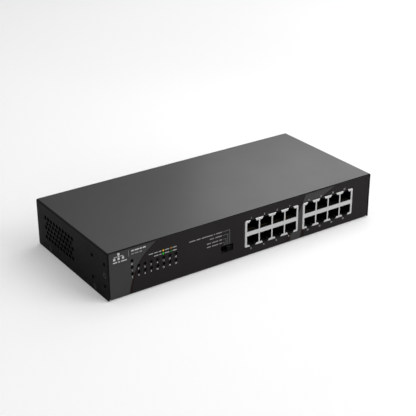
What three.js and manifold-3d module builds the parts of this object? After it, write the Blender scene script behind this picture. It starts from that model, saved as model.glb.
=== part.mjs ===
// Desktop network switch, 16 RJ45 jacks in two stacked 2x4 blocks, folded sheet-steel case.
// Millimetres, +Z up, front panel facing -Y, left is -X.
// Origin: centre of the underside of the case.
import * as THREE from 'three';
import { mergeVertices } from 'three/addons/utils/BufferGeometryUtils.js';
import Module from 'manifold-3d';

// ---------------------------------------------------------------- driving dimensions
const CASE_W = 280; // across the cover sides
const CASE_H = 44;
const SIDE_X = CASE_W / 2; // outer face of a cover side
const FRONT_Y = -63; // face of the front film
const REAR_Y = 63; // rear edge of the cover sides
const SHEET = 1; // steel sheet
const FILM = 0.25; // printed front film
const COVER_GAP = 0.3; // cover side to chassis flange
const FLANGE_X = SIDE_X - SHEET - COVER_GAP; // outer face of a chassis flange
const WALL_F = FRONT_Y + FILM; // outer face of the front wall
const WALL_R = 62.75; // outer face of the rear wall

// both circuit boards lie at this level
const PCB_Z = 7;
const PCB_TOP = PCB_Z + 1.625;
const PCB_HOLE_R = 1.8;

// floor posts [x, y]
const BOARD_POSTS = [[-66, -52], [124, -54], [-24, 18], [128, 18]];
const PSU_SCREW_POSTS = [[-129, 33], [-66, -20.5]];
const PSU_PLAIN_POSTS = [[-129, -20], [-66, 34]];
const PSU_POSTS = [...PSU_SCREW_POSTS, ...PSU_PLAIN_POSTS];
const EARTH_POST = [-58, 51];

// side holes [y, z] for rack ears, and cover screws [name, y, z]
const EAR_HOLES = [[-58, 12.2], [-58, 32.3], [-38, 12.2], [-38, 32.3]];
const COVER_SCREWS = [['upper', -57.9, 22.1], ['front', -40, 4.1], ['rear', 40.9, 4.1]];

// indicators: a power lamp and two rows; lampY is the lamp's place on the board
const LED_HOLE_R = 1.5;
const LED_X0 = -117.2;
const LED_PITCH = 6;
const LED_N = 8;
const LED_X1 = LED_X0 + LED_PITCH * (LED_N - 1);
const LED_POWER = { x: LED_X0, z: 31.1, lampY: -38 };
const LED_UPPER = { z: 25.1, lampY: -44 };
const LED_LOWER = { z: 19.1, lampY: -50 };
const LEDS = [LED_POWER];
for (let k = 0; k < LED_N; k++) {
  for (const row of [LED_UPPER, LED_LOWER]) LEDS.push({ x: LED_X0 + LED_PITCH * k, ...row });
}

// jack blocks [name, centre x]; each has four columns of cells above and below a middle bar
const JACKS = [['jack_a', 25.2], ['jack_b', 89.2]];
const JACK_W = 59;
const JACK_Z0 = 8.75;
const JACK_Z1 = 34.5;
const JACK_MID_Z = (JACK_Z0 + JACK_Z1) / 2;
const JACK_F = -63.625;
const JACK_R = -38.375;
const CELL_X = [-21, -7, 7, 21];
const CELL_W = 12.1;
const CELL_H = 8.625;
const MID_BAR = 4.25;

// mode switch: slot in the front wall, and the knob that runs in it
const SLOT = { x0: -29.5, x1: -16.7, z0: 11.05, z1: 17.55 };
const KNOB = { x: -22, z: 14.4, width: 4.8, height: 4.6, out: 2 };

const INLET_X = -100; // mains inlet on the rear wall
const INLET_Z = 22;

// power header on the main board, its two pins meet the DC leads
const HEADER_PIN_X = [-24.7, -20.3];
const HEADER_PIN_Y = -20.5;

// ---------------------------------------------------------------- materials
const STEEL = { color: 0x2b2b2d, roughness: 0.55, metalness: 0.6 };
const DARK_SCREW = { color: 0x1c1c1e, roughness: 0.4, metalness: 0.8 };
const PRINTED_FILM = { color: 0x2a2828, roughness: 0.45, metalness: 0 };
const ZINC = { color: 0xb9bcc0, roughness: 0.35, metalness: 0.9 };
const TIN = { color: 0xc8c8c4, roughness: 0.3, metalness: 1 };
const BLACK = { color: 0x17171a, roughness: 0.5, metalness: 0 };
const GREEN_BOARD = { color: 0x1d5a35, roughness: 0.5, metalness: 0 };
const TAN_BOARD = { color: 0xa98a4a, roughness: 0.55, metalness: 0 };
const CHIP = { color: 0x202124, roughness: 0.6, metalness: 0 };
const GOLD = { color: 0xd6ae55, roughness: 0.25, metalness: 1 };
const BRASS = { color: 0xb8944a, roughness: 0.35, metalness: 0.9 };
const ALU = { color: 0xa9adb1, roughness: 0.4, metalness: 0.9 };
const CLEAR = { color: 0xdfe6ea, roughness: 0.15, metalness: 0 };
const BROWN_PLASTIC = { color: 0x6b4a2c, roughness: 0.6, metalness: 0 };
const IVORY = { color: 0xe8e4d6, roughness: 0.5, metalness: 0 };
const TRANSFORMER = { color: 0x5b4a24, roughness: 0.6, metalness: 0.1 };
const CAN_SLEEVE = { color: 0x24314f, roughness: 0.4, metalness: 0.1 };
const COPPER_WIRE = { color: 0x7a3b1e, roughness: 0.5, metalness: 0.2 };
const YELLOW_CASE = { color: 0xc9a227, roughness: 0.45, metalness: 0 };
const FUSE = { color: 0xc9ccd0, roughness: 0.3, metalness: 0.6 };
const INSULATOR = { color: 0xd8d4c4, roughness: 0.5, metalness: 0 };
const leadLook = (color) => ({ color, roughness: 0.5 });

// ---------------------------------------------------------------- helpers
const wasm = await Module();
wasm.setup();

// closed three.js geometry as a solid
function solid(geometry) {
  geometry.deleteAttribute('normal');
  geometry.deleteAttribute('uv');
  const merged = mergeVertices(geometry, 1e-5);
  return new wasm.Manifold(new wasm.Mesh({
    numProp: 3,
    vertProperties: new Float32Array(merged.attributes.position.array),
    triVerts: new Uint32Array(merged.index.array),
  }));
}

// box from its limits along each axis
function box(x0, x1, y0, y1, z0, z1) {
  const geometry = new THREE.BoxGeometry(1, 1, 1);
  const p = geometry.attributes.position;
  for (let i = 0; i < p.count; i++) {
    p.setXYZ(i, p.getX(i) < 0 ? x0 : x1, p.getY(i) < 0 ? y0 : y1, p.getZ(i) < 0 ? z0 : z1);
  }
  return solid(geometry);
}

// box centred on (x, y); top and base are heights above the circuit boards
function onBoard(x, y, width, depth, top, base = 0) {
  return box(x - width / 2, x + width / 2, y - depth / 2, y + depth / 2,
    PCB_TOP + base, PCB_TOP + top);
}

// small part sunk a little into its board, so that the two join
const boardPart = (x, y, width, depth, height) => onBoard(x, y, width, depth, height, -0.3);

// cylinder or frustum along an axis, from a (radius ra) to b (radius rb);
// cu, cv place it in the other two axes, in x, y, z order
function rod(axis, cu, cv, a, b, ra, rb = ra, segments = 12, turn = 0) {
  const geometry = new THREE.CylinderGeometry(rb, ra, b - a, segments, 1, false, turn);
  geometry.translate(0, (a + b) / 2, 0);
  if (axis === 'x') {
    geometry.rotateZ(-Math.PI / 2);
    geometry.translate(0, cu, cv);
  } else if (axis === 'y') {
    geometry.translate(cu, 0, cv);
  } else {
    geometry.rotateX(Math.PI / 2);
    geometry.translate(cu, cv, 0);
  }
  return solid(geometry);
}

// straight rod with its own segment count
const pin = (axis, cu, cv, a, b, radius, segments) =>
  rod(axis, cu, cv, a, b, radius, radius, segments);

// rod through a side of the case; side is -1 (left) or 1 (right), inner and outer are |x|
function sideRod(side, y, z, inner, outer, innerR, outerR, segments) {
  return side < 0
    ? rod('x', y, z, -outer, -inner, outerR, innerR, segments)
    : rod('x', y, z, inner, outer, innerR, outerR, segments);
}

// polygon pushed from a to b along x (points are [y, z]) or along y (points are [x, z])
function prism(axis, points, a, b) {
  const shape = new THREE.Shape(points.map(([u, v]) => new THREE.Vector2(u, v)));
  const geometry = new THREE.ExtrudeGeometry(shape, {
    depth: b - a, bevelEnabled: false, curveSegments: 1,
  });
  const p = geometry.attributes.position;
  for (let i = 0; i < p.count; i++) {
    const u = p.getX(i);
    const v = p.getY(i);
    const w = a + p.getZ(i);
    if (axis === 'x') p.setXYZ(i, w, u, v);
    else p.setXYZ(i, u, w, v);
  }
  if (axis === 'y') { // this swap mirrors the solid, so its triangles are turned over
    for (let i = 0; i < p.count; i += 3) {
      const second = [p.getX(i + 1), p.getY(i + 1), p.getZ(i + 1)];
      p.setXYZ(i + 1, p.getX(i + 2), p.getY(i + 2), p.getZ(i + 2));
      p.setXYZ(i + 2, ...second);
    }
  }
  return solid(geometry);
}

// round lead along a curve
function lead(points, radius, steps = 14, segments = 6) {
  const path = points.map((point) => new THREE.Vector3(...point));
  const extrudePath = new THREE.CatmullRomCurve3(path, false, 'catmullrom', 0.5);
  const ring = [];
  for (let i = 0; i < segments; i++) {
    const angle = (2 * Math.PI * i) / segments;
    ring.push(new THREE.Vector2(radius * Math.cos(angle), radius * Math.sin(angle)));
  }
  const options = { steps, extrudePath, bevelEnabled: false };
  return solid(new THREE.ExtrudeGeometry(new THREE.Shape(ring), options));
}

const join = (list) => list.reduce((a, b) => a.add(b));
const cut = (body, list) => list.reduce((a, b) => a.subtract(b), body);

const group = new THREE.Group();

function add(name, body, look) {
  const out = body.getMesh();
  const geometry = new THREE.BufferGeometry();
  const positions = new Float32Array(out.vertProperties);
  geometry.setAttribute('position', new THREE.BufferAttribute(positions, 3));
  geometry.setIndex(new THREE.BufferAttribute(new Uint32Array(out.triVerts), 1));
  geometry.computeVertexNormals();
  const mesh = new THREE.Mesh(geometry, new THREE.MeshStandardMaterial(look));
  mesh.name = name;
  group.add(mesh);
}

// jack, switch and indicator openings through the front, each grown by its own clearance
function frontOpenings(y0, y1, { jack, slot, led }) {
  const halfW = JACK_W / 2 + jack;
  return [
    ...JACKS.map(([, x]) => box(x - halfW, x + halfW, y0, y1, JACK_Z0 - jack, JACK_Z1 + jack)),
    box(SLOT.x0 - slot, SLOT.x1 + slot, y0, y1, SLOT.z0 - slot, SLOT.z1 + slot),
    ...LEDS.map(({ x, z }) => pin('y', x, z, y0, y1, LED_HOLE_R + led, 6)),
  ];
}

// clearance holes for the posts of a circuit board
const boardHoles = (posts) =>
  posts.map(([x, y]) => pin('z', x, y, PCB_Z - 1, PCB_TOP + 1, PCB_HOLE_R, 8));

// ---------------------------------------------------------------- base chassis
// Floor, front and rear walls, low side flanges and tall returns beside the front wall.
function baseChassis() {
  const x = FLANGE_X;
  const frontTop = 42.75;
  const rearTop = 42.5;
  const flangeTop = 9;
  const returnTop = 41;
  const returnEnd = WALL_F + SHEET + 29;
  const post = ([px, py], top, topR) =>
    rod('z', px, py, 0.5, top, 3.5, topR, 8, Math.PI / 8);
  const postHole = ([px, py], z0, z1) => pin('z', px, py, z0, z1, 1.75, 6);

  const body = join([
    box(-x, x, WALL_F, WALL_R, 0, SHEET),
    box(-x, x, WALL_F, WALL_F + SHEET, 0, frontTop),
    box(-x, x, WALL_R - SHEET, WALL_R, 0, rearTop),
    box(-x, -x + SHEET, WALL_F, WALL_R, 0, flangeTop),
    box(x - SHEET, x, WALL_F, WALL_R, 0, flangeTop),
    box(-x, -x + SHEET, WALL_F, returnEnd, 0, returnTop),
    box(x - SHEET, x, WALL_F, returnEnd, 0, returnTop),
    ...[...BOARD_POSTS, ...PSU_POSTS].map((place) => post(place, PCB_Z, 3.2)),
    post(EARTH_POST, 2, 3.5),
  ]);
  const holes = [
    ...[...BOARD_POSTS, ...PSU_SCREW_POSTS].map((place) => postHole(place, 1.5, 8)),
    postHole(EARTH_POST, -1, 3),
    ...frontOpenings(WALL_F - 1, WALL_F + 2, { jack: 0.4, slot: 0, led: 0.1 }),
    box(INLET_X - 13.7, INLET_X + 13.7, WALL_R - 2, WALL_R + 1, INLET_Z - 10.1, INLET_Z + 10.1),
  ];
  for (const side of [-1, 1]) {
    const hole = (y, z, radius, segments) =>
      holes.push(sideRod(side, y, z, x - 2, x + 1, radius, radius, segments));
    for (const [y, z] of EAR_HOLES) hole(y, z, 1.3, 6);
    for (const [, y, z] of COVER_SCREWS) hole(y, z, 1.8, 8);
  }
  return cut(body, holes);
}
add('base_chassis', baseChassis(), STEEL);

// ---------------------------------------------------------------- top cover
// Top, two sides and a short rear lip; staggered vent holes in both sides.
function topCover() {
  const x = SIDE_X;
  const sideBottom = 0.25;
  const lipH = 5;
  const lipInset = 1.5; // from each side
  const lipR = REAR_Y + SHEET;
  const vent = {
    radius: 2.1, // to the corners of the six-sided hole
    pitch: 5.49,
    y0: -2.9, // first hole of the long rows
    rows: [32.1, 27.4, 22.7, 17.9, 13.2], // z; long and short rows take turns
  };

  const body = join([
    box(-x, x, FRONT_Y, lipR, CASE_H - SHEET, CASE_H),
    box(-x, -x + SHEET, FRONT_Y, REAR_Y, sideBottom, CASE_H),
    box(x - SHEET, x, FRONT_Y, REAR_Y, sideBottom, CASE_H),
    box(-x + lipInset, x - lipInset, REAR_Y, lipR, CASE_H - lipH, CASE_H),
  ]);
  const holes = [];
  for (const side of [-1, 1]) {
    const hole = (y, z, radius) =>
      holes.push(sideRod(side, y, z, x - 2, x + 1, radius, radius, 6));
    vent.rows.forEach((z, row) => {
      const long = row % 2 === 0;
      const count = long ? 10 : 9;
      const y0 = vent.y0 + (long ? 0 : vent.pitch / 2);
      for (let i = 0; i < count; i++) hole(y0 + vent.pitch * i, z, vent.radius);
    });
    for (const [y, z] of EAR_HOLES) hole(y, z, 1.6);
    // conical screw seats, about 6.3 across outside and 4.2 inside
    for (const [, y, z] of COVER_SCREWS) {
      holes.push(sideRod(side, y, z, x - SHEET - 0.5, x + 0.5, 1.55, 3.7, 10));
    }
  }
  return cut(body, holes);
}
add('top_cover', topCover(), STEEL);

// countersunk M3 cover screws
function coverScrew(side, y, z) {
  return join([
    sideRod(side, y, z, SIDE_X - 1.3, SIDE_X - 0.05, 1.45, 2.75, 10),
    sideRod(side, y, z, SIDE_X - 6, SIDE_X - 1.2, 1.4, 1.4, 10),
  ]);
}
for (const [sideName, side] of [['left', -1], ['right', 1]]) {
  for (const [where, y, z] of COVER_SCREWS) {
    add(`cover_screw_${sideName}_${where}`, coverScrew(side, y, z), DARK_SCREW);
  }
}

// ---------------------------------------------------------------- front film
add('front_overlay', cut(
  box(-138.25, 138.25, FRONT_Y, WALL_F, 1.25, 42.5),
  frontOpenings(FRONT_Y - 1, WALL_F + 1, { jack: 0.5, slot: 0.1, led: 0.15 }),
), PRINTED_FILM);

// ---------------------------------------------------------------- main board
// regulators, inductors, crystal, memory and bypass parts: x, y, width, depth, height
const BOARD_PARTS = [
  [-16, -2, 7, 7, 4.2], [-16, 9, 7, 7, 4.2], [-4, 12, 8, 6, 1.4],
  [57, 18.5, 11, 5, 3.4], [80, 16, 8, 6, 1.8], [100, 16, 6, 6, 1.5],
  [112, 6, 6.5, 6.5, 4], [8, 12, 5, 5, 1.4], [-92, -34, 10, 5, 1.5],
  [-52, -42, 9, 9, 1.4], [40, -14, 2, 1.2, 0.9], [40, 2, 2, 1.2, 0.9],
  [74, -14, 2, 1.2, 0.9], [74, 2, 2, 1.2, 0.9],
];

function mainBoard() {
  const plate = join([
    box(-125, -29, -60.5, -30, PCB_Z, PCB_TOP),
    box(-30, 134, -60.5, 25, PCB_Z, PCB_TOP),
  ]);
  return join([
    cut(plate, boardHoles(BOARD_POSTS)),
    ...LEDS.map(({ x, lampY }) => boardPart(x, lampY, 1.6, 1, 0.8)),
    ...BOARD_PARTS.map((part) => boardPart(...part)),
  ]);
}
add('main_board', mainBoard(), GREEN_BOARD);

// pan-head screw seated on a circuit board
function panScrew([x, y]) {
  return join([
    rod('z', x, y, PCB_TOP, PCB_TOP + 1.9, 2.75, 2.1, 10),
    pin('z', x, y, PCB_TOP - 5, PCB_TOP + 0.5, 1.35, 8),
  ]);
}
BOARD_POSTS.forEach((place, i) => add(`board_screw_${i + 1}`, panScrew(place), ZINC));

// ---------------------------------------------------------------- jack blocks
const HOUSING_F = JACK_F + 0.375;
const HOUSING_R = -47.5;
const CAVITY_R = -49.25; // rear end of the plug cavities

// the eight cells of a block: centre x, and up = 1 above the middle bar or -1 below it
const jackCells = (blockX) =>
  CELL_X.flatMap((dx) => [1, -1].map((up) => ({ x: blockX + dx, up })));

// z at a distance from the middle bar's edge, into the cell
const cellZ = (up, distance) => JACK_MID_Z + up * (MID_BAR / 2 + distance);

// tin-plated shield, open below, with a stepped opening for each cell
function jackShield(blockX, x0, x1) {
  const wall = 0.25;
  const halfW = CELL_W / 2;
  const tabH = CELL_H + 1.375;
  const outline = [ // x from the cell centre, distance from the middle bar
    [-halfW, 0], [halfW, 0], [halfW, CELL_H], [3.6, CELL_H],
    [2.8, tabH], [-2.8, tabH], [-3.6, CELL_H], [-halfW, CELL_H],
  ];
  return cut(box(x0, x1, JACK_F, JACK_R, JACK_Z0, JACK_Z1), [
    box(x0 + wall, x1 - wall, JACK_F + wall, JACK_R - wall, JACK_Z0 - 1, JACK_Z1 - wall),
    ...jackCells(blockX).map(({ x, up }) => prism('y',
      outline.map(([dx, distance]) => [x + dx, cellZ(up, distance)]), JACK_F - 1, JACK_F + 1)),
  ]);
}

// moulded housing with eight plug cavities
function jackHousing(blockX, x0, x1) {
  const edge = 0.0625;
  const cavities = jackCells(blockX).flatMap(({ x, up }) => {
    const cavity = (halfW, y0, y1, near, far) => {
      const [z0, z1] = [cellZ(up, near), cellZ(up, far)].sort((a, b) => a - b);
      return box(x - halfW, x + halfW, y0, y1, z0, z1);
    };
    return [
      cavity(5.95, HOUSING_F - 1, CAVITY_R, edge, CELL_H - edge), // plug
      cavity(3.1, HOUSING_F - 1, CAVITY_R - 2, CELL_H - 0.5, CELL_H + 1.25), // narrow notch
      cavity(4.4, CAVITY_R - 1, HOUSING_R + 1, edge, 2.3), // rear slot for the contacts
    ];
  });
  return cut(box(x0 + 0.5, x1 - 0.5, HOUSING_F, HOUSING_R, JACK_Z0, JACK_Z1 - 0.5), cavities);
}

// contact insert: rear carrier with eight spring contacts for every cavity
function jackContacts(blockX, x0, x1) {
  const pitch = 1.02;
  const halfW = 0.225;
  const root = HOUSING_R + 0.8;
  const tip = -61;
  const blade = [[root, 0.35], [tip, 0.3], [tip, 0.65], [root, 1.95]]; // y, from middle bar
  const carrier = box(x0 + 0.75, x1 - 0.75, HOUSING_R + 0.3, JACK_R - 0.625,
    JACK_Z0, JACK_Z1 - 1);
  const contacts = jackCells(blockX).flatMap(({ x, up }) => {
    const outline = blade.map(([y, distance]) => [y, cellZ(up, distance)]);
    return Array.from({ length: 8 }, (_, i) => {
      const centre = x + (i - 3.5) * pitch;
      return prism('x', outline, centre - halfW, centre + halfW);
    });
  });
  return join([carrier, ...contacts]);
}

for (const [name, x] of JACKS) {
  const span = [x, x - JACK_W / 2, x + JACK_W / 2];
  add(`${name}_shield`, jackShield(...span), TIN);
  add(`${name}_housing`, jackHousing(...span), BLACK);
  add(`${name}_contacts`, jackContacts(...span), GOLD);
}

// ---------------------------------------------------------------- four-position mode switch
const KNOB_Z0 = KNOB.z - KNOB.height / 2;
const KNOB_Z1 = KNOB.z + KNOB.height / 2;

// sheet frame, open behind and below, with a window for the knob
function switchFrame() {
  const front = -61.25;
  const back = -53.5;
  return cut(box(-31.25, -14.75, front, back, 9, 20), [
    box(-30.75, -15.25, front + 0.5, back + 1, 8, 19.5),
    box(-28.9, -17.1, front - 1, front + 1, KNOB_Z0 - 0.35, KNOB_Z1 + 0.35),
  ]);
}
add('mode_switch_frame', switchFrame(), ZINC);

add('mode_switch_base', join([
  box(-30.5, -15.5, -55.5, -53.75, PCB_TOP, 19),
  box(-30.5, -15.5, -60.25, -55.5, PCB_TOP, 10.25),
]), BROWN_PLASTIC);

// carriage and finger knob, with three grip grooves on the knob's face
function switchSlider() {
  const { x, width } = KNOB;
  const face = FRONT_Y - KNOB.out;
  const body = join([
    box(x - 3.25, x + 3.25, -60.25, -57, 10.75, 18.5),
    box(x - width / 2, x + width / 2, face, -60, KNOB_Z0, KNOB_Z1),
  ]);
  return cut(body, [-1.2, 0, 1.2].map((dx) =>
    box(x + dx - 0.3, x + dx + 0.3, face - 1, face + 0.4, 8, 20)));
}
add('mode_switch_slider', switchSlider(), BLACK);

add('mode_switch_wiper', join([
  box(KNOB.x - 2.5, KNOB.x + 2.5, -57, -56.5, 12, 17),
  box(KNOB.x - 2.2, KNOB.x - 1.2, -56.75, -55.875, 12.6, 16.4),
  box(KNOB.x + 1.2, KNOB.x + 2.2, -56.75, -55.875, 12.6, 16.4),
]), GOLD);

// ---------------------------------------------------------------- indicators
// One clear moulding: a square pipe behind each panel hole, led back and down to its lamp,
// and thin bars that tie the pipes together.
function lightGuide() {
  const half = 0.9; // half the pipe's thickness
  const face = -62.25;
  const foot = PCB_TOP + 1.125;
  const pipes = LEDS.map(({ x, z, lampY }) => prism('x', [
    [face, z - half], [lampY - half, z - half], [lampY - half, foot],
    [lampY + half, foot], [lampY + half, z + half], [face, z + half],
  ], x - half, x + half));
  const bar = (x0, x1, z0, z1) => box(x0, x1, -57.25, -56.25, z0, z1);
  return join([
    ...pipes,
    ...[LED_UPPER, LED_LOWER].map(({ z }) => bar(LED_X0, LED_X1, z - half, z + half)),
    bar(LED_X0 - 0.5, LED_X0 + 0.5, LED_LOWER.z, LED_POWER.z),
    bar(LED_X1 - 0.5, LED_X1 + 0.5, LED_LOWER.z, LED_UPPER.z),
  ]);
}
add('indicator_light_guide', lightGuide(), CLEAR);

// black shroud on two stepped legs, which keeps each lamp's light apart
function shroud() {
  const [x0, x1] = [-121.5, -71];
  const legW = 1.75;
  const legs = [[x0, x0 + legW], [x1 - legW, x1]].flatMap((span) => [
    box(...span, -61.5, -58.5, 10, 15.75),
    box(...span, -60.5, -58.5, PCB_TOP, 10.5),
  ]);
  const body = join([box(x0, x1, -61.5, -58.5, 15.5, 34.5), ...legs]);
  return cut(body, LEDS.map(({ x, z }) => pin('y', x, z, -62, -58, 1.7, 6)));
}
add('indicator_shroud', shroud(), BLACK);

// ---------------------------------------------------------------- parts on the main board
const SWITCH_CHIP = { x: 57, y: -4, height: 1.625 };

add('switch_chip', join([
  onBoard(SWITCH_CHIP.x, SWITCH_CHIP.y, 24, 24, 0.75),
  onBoard(SWITCH_CHIP.x, SWITCH_CHIP.y, 22, 22, SWITCH_CHIP.height),
]), CHIP);

// finned heatsink on top of the switch chip
function switchHeatsink() {
  const { x, y, height: base } = SWITCH_CHIP;
  const width = 30;
  const depth = 27;
  const fin = 1.2;
  const fins = 8;
  const parts = [onBoard(x, y, width, depth, base + 2, base)];
  for (let i = 0; i < fins; i++) {
    const finX = x - width / 2 + fin / 2 + i * ((width - fin) / (fins - 1));
    parts.push(onBoard(finX, y, fin, depth, base + 14, base + 1));
  }
  return join(parts);
}
add('switch_heatsink', switchHeatsink(), ALU);

for (const [name, x] of [['phy_chip_a', 22], ['phy_chip_b', 92]]) {
  add(name, join([onBoard(x, -6, 20, 20, 0.5), onBoard(x, -6, 18, 18, 1.5)]), CHIP);
}

// four magnetics behind each jack block
JACKS.flatMap(([, x]) => [-22.5, -7.5, 7.5, 22.5].map((dx) => x + dx)).forEach((x, i) => {
  const body = join([onBoard(x, -28.5, 13, 12, 0.5), onBoard(x, -28.5, 12.5, 9, 6)]);
  add(`magnetics_${i + 1}`, body, BLACK);
});

function powerHeader() {
  const [x, y, width, depth] = [-22.5, -20.5, 11, 9];
  const shell = onBoard(x, y, width, depth, 5.5)
    .subtract(onBoard(x, y, width - 2, depth - 2, 7, 1));
  return join([shell, ...HEADER_PIN_X.map((pinX) => onBoard(pinX, HEADER_PIN_Y, 1, 1, 4, 0.5))]);
}
add('power_header', powerHeader(), IVORY);

// ---------------------------------------------------------------- mains power supply
add('psu_board', join([
  cut(box(-133, -62, -24, 38, PCB_Z, PCB_TOP), boardHoles(PSU_SCREW_POSTS)),
  boardPart(-88, 30, 8, 6, 3.5),
  boardPart(-74, 31, 5, 4, 3),
  boardPart(-106, 32, 4, 8, 9),
]), TAN_BOARD);
PSU_SCREW_POSTS.forEach((place, i) => add(`psu_screw_${i + 1}`, panScrew(place), ZINC));

add('psu_transformer', join([
  onBoard(-93, -7, 22, 22, 3),
  onBoard(-93, -7, 18, 12, 18),
  onBoard(-93, -7, 14, 20, 16, 2),
]), TRANSFORMER);

// round can with a slightly wider foot
function canCapacitor({ x, y, radius, height, footR, footH, segments }) {
  return join([
    pin('z', x, y, PCB_TOP, PCB_TOP + footH, footR, segments),
    pin('z', x, y, PCB_TOP, PCB_TOP + height, radius, segments),
  ]);
}
add('psu_bulk_capacitor', canCapacitor({
  x: -120, y: -6, radius: 8, height: 25, footR: 8.2, footH: 1.5, segments: 16,
}), CAN_SLEEVE);

add('psu_line_choke', join([
  onBoard(-110, 17, 16, 10, 3),
  onBoard(-110, 17, 14, 5, 17),
  ...[-114, -106].map((x) => pin('z', x, 17, PCB_TOP + 2, PCB_TOP + 15, 4.2, 10)),
]), COPPER_WIRE);

add('psu_film_capacitor', onBoard(-89, 18, 18, 8, 14), YELLOW_CASE);

// fuse lying along y, with an end cap and a foot at each end
function fuse() {
  const x = -127;
  const tube = (y0, y1, radius) => pin('y', x, PCB_TOP + 3.5, y0, y1, radius, 10);
  return join([
    tube(5, 25, 2.3),
    tube(5, 10, 2.7),
    tube(20, 25, 2.7),
    ...[7.5, 22.5].map((y) => onBoard(x, y, 2, 2, 2.5)),
  ]);
}
add('psu_fuse', fuse(), FUSE);

// upright plate, top flange and a block against the plate
add('psu_heatsink', join([
  onBoard(-77.75, 2, 1.5, 36, 23),
  onBoard(-75, 2, 7, 36, 23, 21.5),
  onBoard(-75.125, -7, 4.25, 10, 17, 2),
]), ALU);

add('psu_output_capacitor', canCapacitor({
  x: -67.5, y: -8, radius: 5, height: 16, footR: 5.15, footH: 1, segments: 12,
}), CAN_SLEEVE);

// insulating sheet under the supply, folded up along its front edge
add('psu_insulator', cut(join([
  box(-135.5, -59.5, -27.5, 40, 1.25, 1.75),
  box(-135.5, -59.5, -27.5, -27, 1.25, 33),
]), PSU_POSTS.map(([x, y]) => rod('z', x, y, 0, 3, 4.1, 4.1, 8, Math.PI / 8))), INSULATOR);

// ---------------------------------------------------------------- mains inlet, C14 pattern
const INLET_PINS = [ // name, x and z from the inlet centre
  ['line', -7, -2], ['neutral', 7, -2], ['earth', 0, 2],
].map(([name, dx, dz]) => ({ name, x: INLET_X + dx, z: INLET_Z + dz }));
const RECESS = [ // x, z from the inlet centre
  [-12.2, -8.3], [12.2, -8.3], [12.2, 3.7], [7.6, 8.3], [-7.6, 8.3], [-12.2, 3.7],
];

// box centred on (x, z), from its half sizes
const alongY = (x, z, halfW, halfH, y0, y1) =>
  box(x - halfW, x + halfW, y0, y1, z - halfH, z + halfH);

function inletBody() {
  const face = 65;
  const inner = 44.5; // end inside the case
  const recessFloor = 49;
  const body = join([
    alongY(INLET_X, INLET_Z, 15.5, 12, WALL_R, face),
    alongY(INLET_X, INLET_Z, 13.5, 9.9, inner, WALL_R + 0.5),
  ]);
  const outline = RECESS.map(([dx, dz]) => [INLET_X + dx, INLET_Z + dz]);
  return cut(body, [
    prism('y', outline, recessFloor, face + 1),
    ...INLET_PINS.map(({ x, z }) => alongY(x, z, 1.3, 2.3, inner - 1, recessFloor + 1)),
  ]);
}
add('ac_inlet_body', inletBody(), BLACK);

// blade, thinner tip outside and thin tab inside
for (const { name, x, z } of INLET_PINS) {
  add(`ac_inlet_${name}_pin`, join([
    alongY(x, z, 1, 2, 44, 60),
    alongY(x, z, 0.65, 1.6, 59.5, 61),
    alongY(x, z, 0.4, 2, 37, 44.5),
  ]), BRASS);
}

// ---------------------------------------------------------------- leads, paths in x, y, z
const MAINS_LEAD_R = 0.9;
const DC_LEAD_R = 0.8;

add('line_lead', lead([
  [-107, 36.6, 20], [-108.5, 33.5, 21.5], [-113, 30, 20], [-117.5, 28.5, 15],
  [-118, 28.5, 8.95],
], MAINS_LEAD_R), leadLook(0x6b3a1e));

add('neutral_lead', lead([
  [-93, 36.6, 20], [-93, 33, 22], [-94.5, 28.5, 20], [-97, 26.5, 15], [-97.5, 26.5, 8.95],
], MAINS_LEAD_R), leadLook(0x2453a8));

// earth lead ends in a ring terminal on the earth post
add('earth_lead', join([
  lead([
    [-100, 36.6, 24], [-98, 33.5, 26], [-90, 36, 26], [-78, 43, 17], [-68, 48, 7],
    [-62.5, 49.6, 2.8],
  ], MAINS_LEAD_R, 16),
  pin('z', ...EARTH_POST, 2.3, 3.1, 3.6, 12).subtract(pin('z', ...EARTH_POST, 1, 5, 1.75, 12)),
  box(-63.2, -60.9, 49, 50.6, 2.3, 3.1),
]), leadLook(0x6f9a2a));

add('dc_lead_positive', lead([
  [-66, 3, 8.95], [-66, 2.5, 13], [-60, -1, 17], [-46, -9, 18], [-30, -18, 20],
  [-25, -20.5, 18], [HEADER_PIN_X[0], HEADER_PIN_Y, 13],
], DC_LEAD_R), leadLook(0xa3231e));

add('dc_lead_negative', lead([
  [-66, 8, 8.95], [-66, 7.5, 13], [-58, 4.5, 17], [-43, -4, 18], [-26, -15, 20],
  [-20.8, -19.8, 18], [HEADER_PIN_X[1], HEADER_PIN_Y, 13],
], DC_LEAD_R), leadLook(0x1a1a1a));

add('earth_screw', join([
  rod('z', ...EARTH_POST, 3.25, 5.25, 2.9, 2.2, 10),
  pin('z', ...EARTH_POST, 0.25, 3.5, 1.4, 8),
]), ZINC);

export default group;
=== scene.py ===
"""Desktop network switch with sixteen jacks, built around its CAD frame.

The front faces -Y, the width runs along X (left is -X) and the underside lies at z = 0.
Lengths are millimetres, except in materials, lights and the camera, which use metres.
"""

import math
import random

import bpy
import bmesh
from mathutils import Matrix, Vector
from mathutils.geometry import delaunay_2d_cdt


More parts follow.
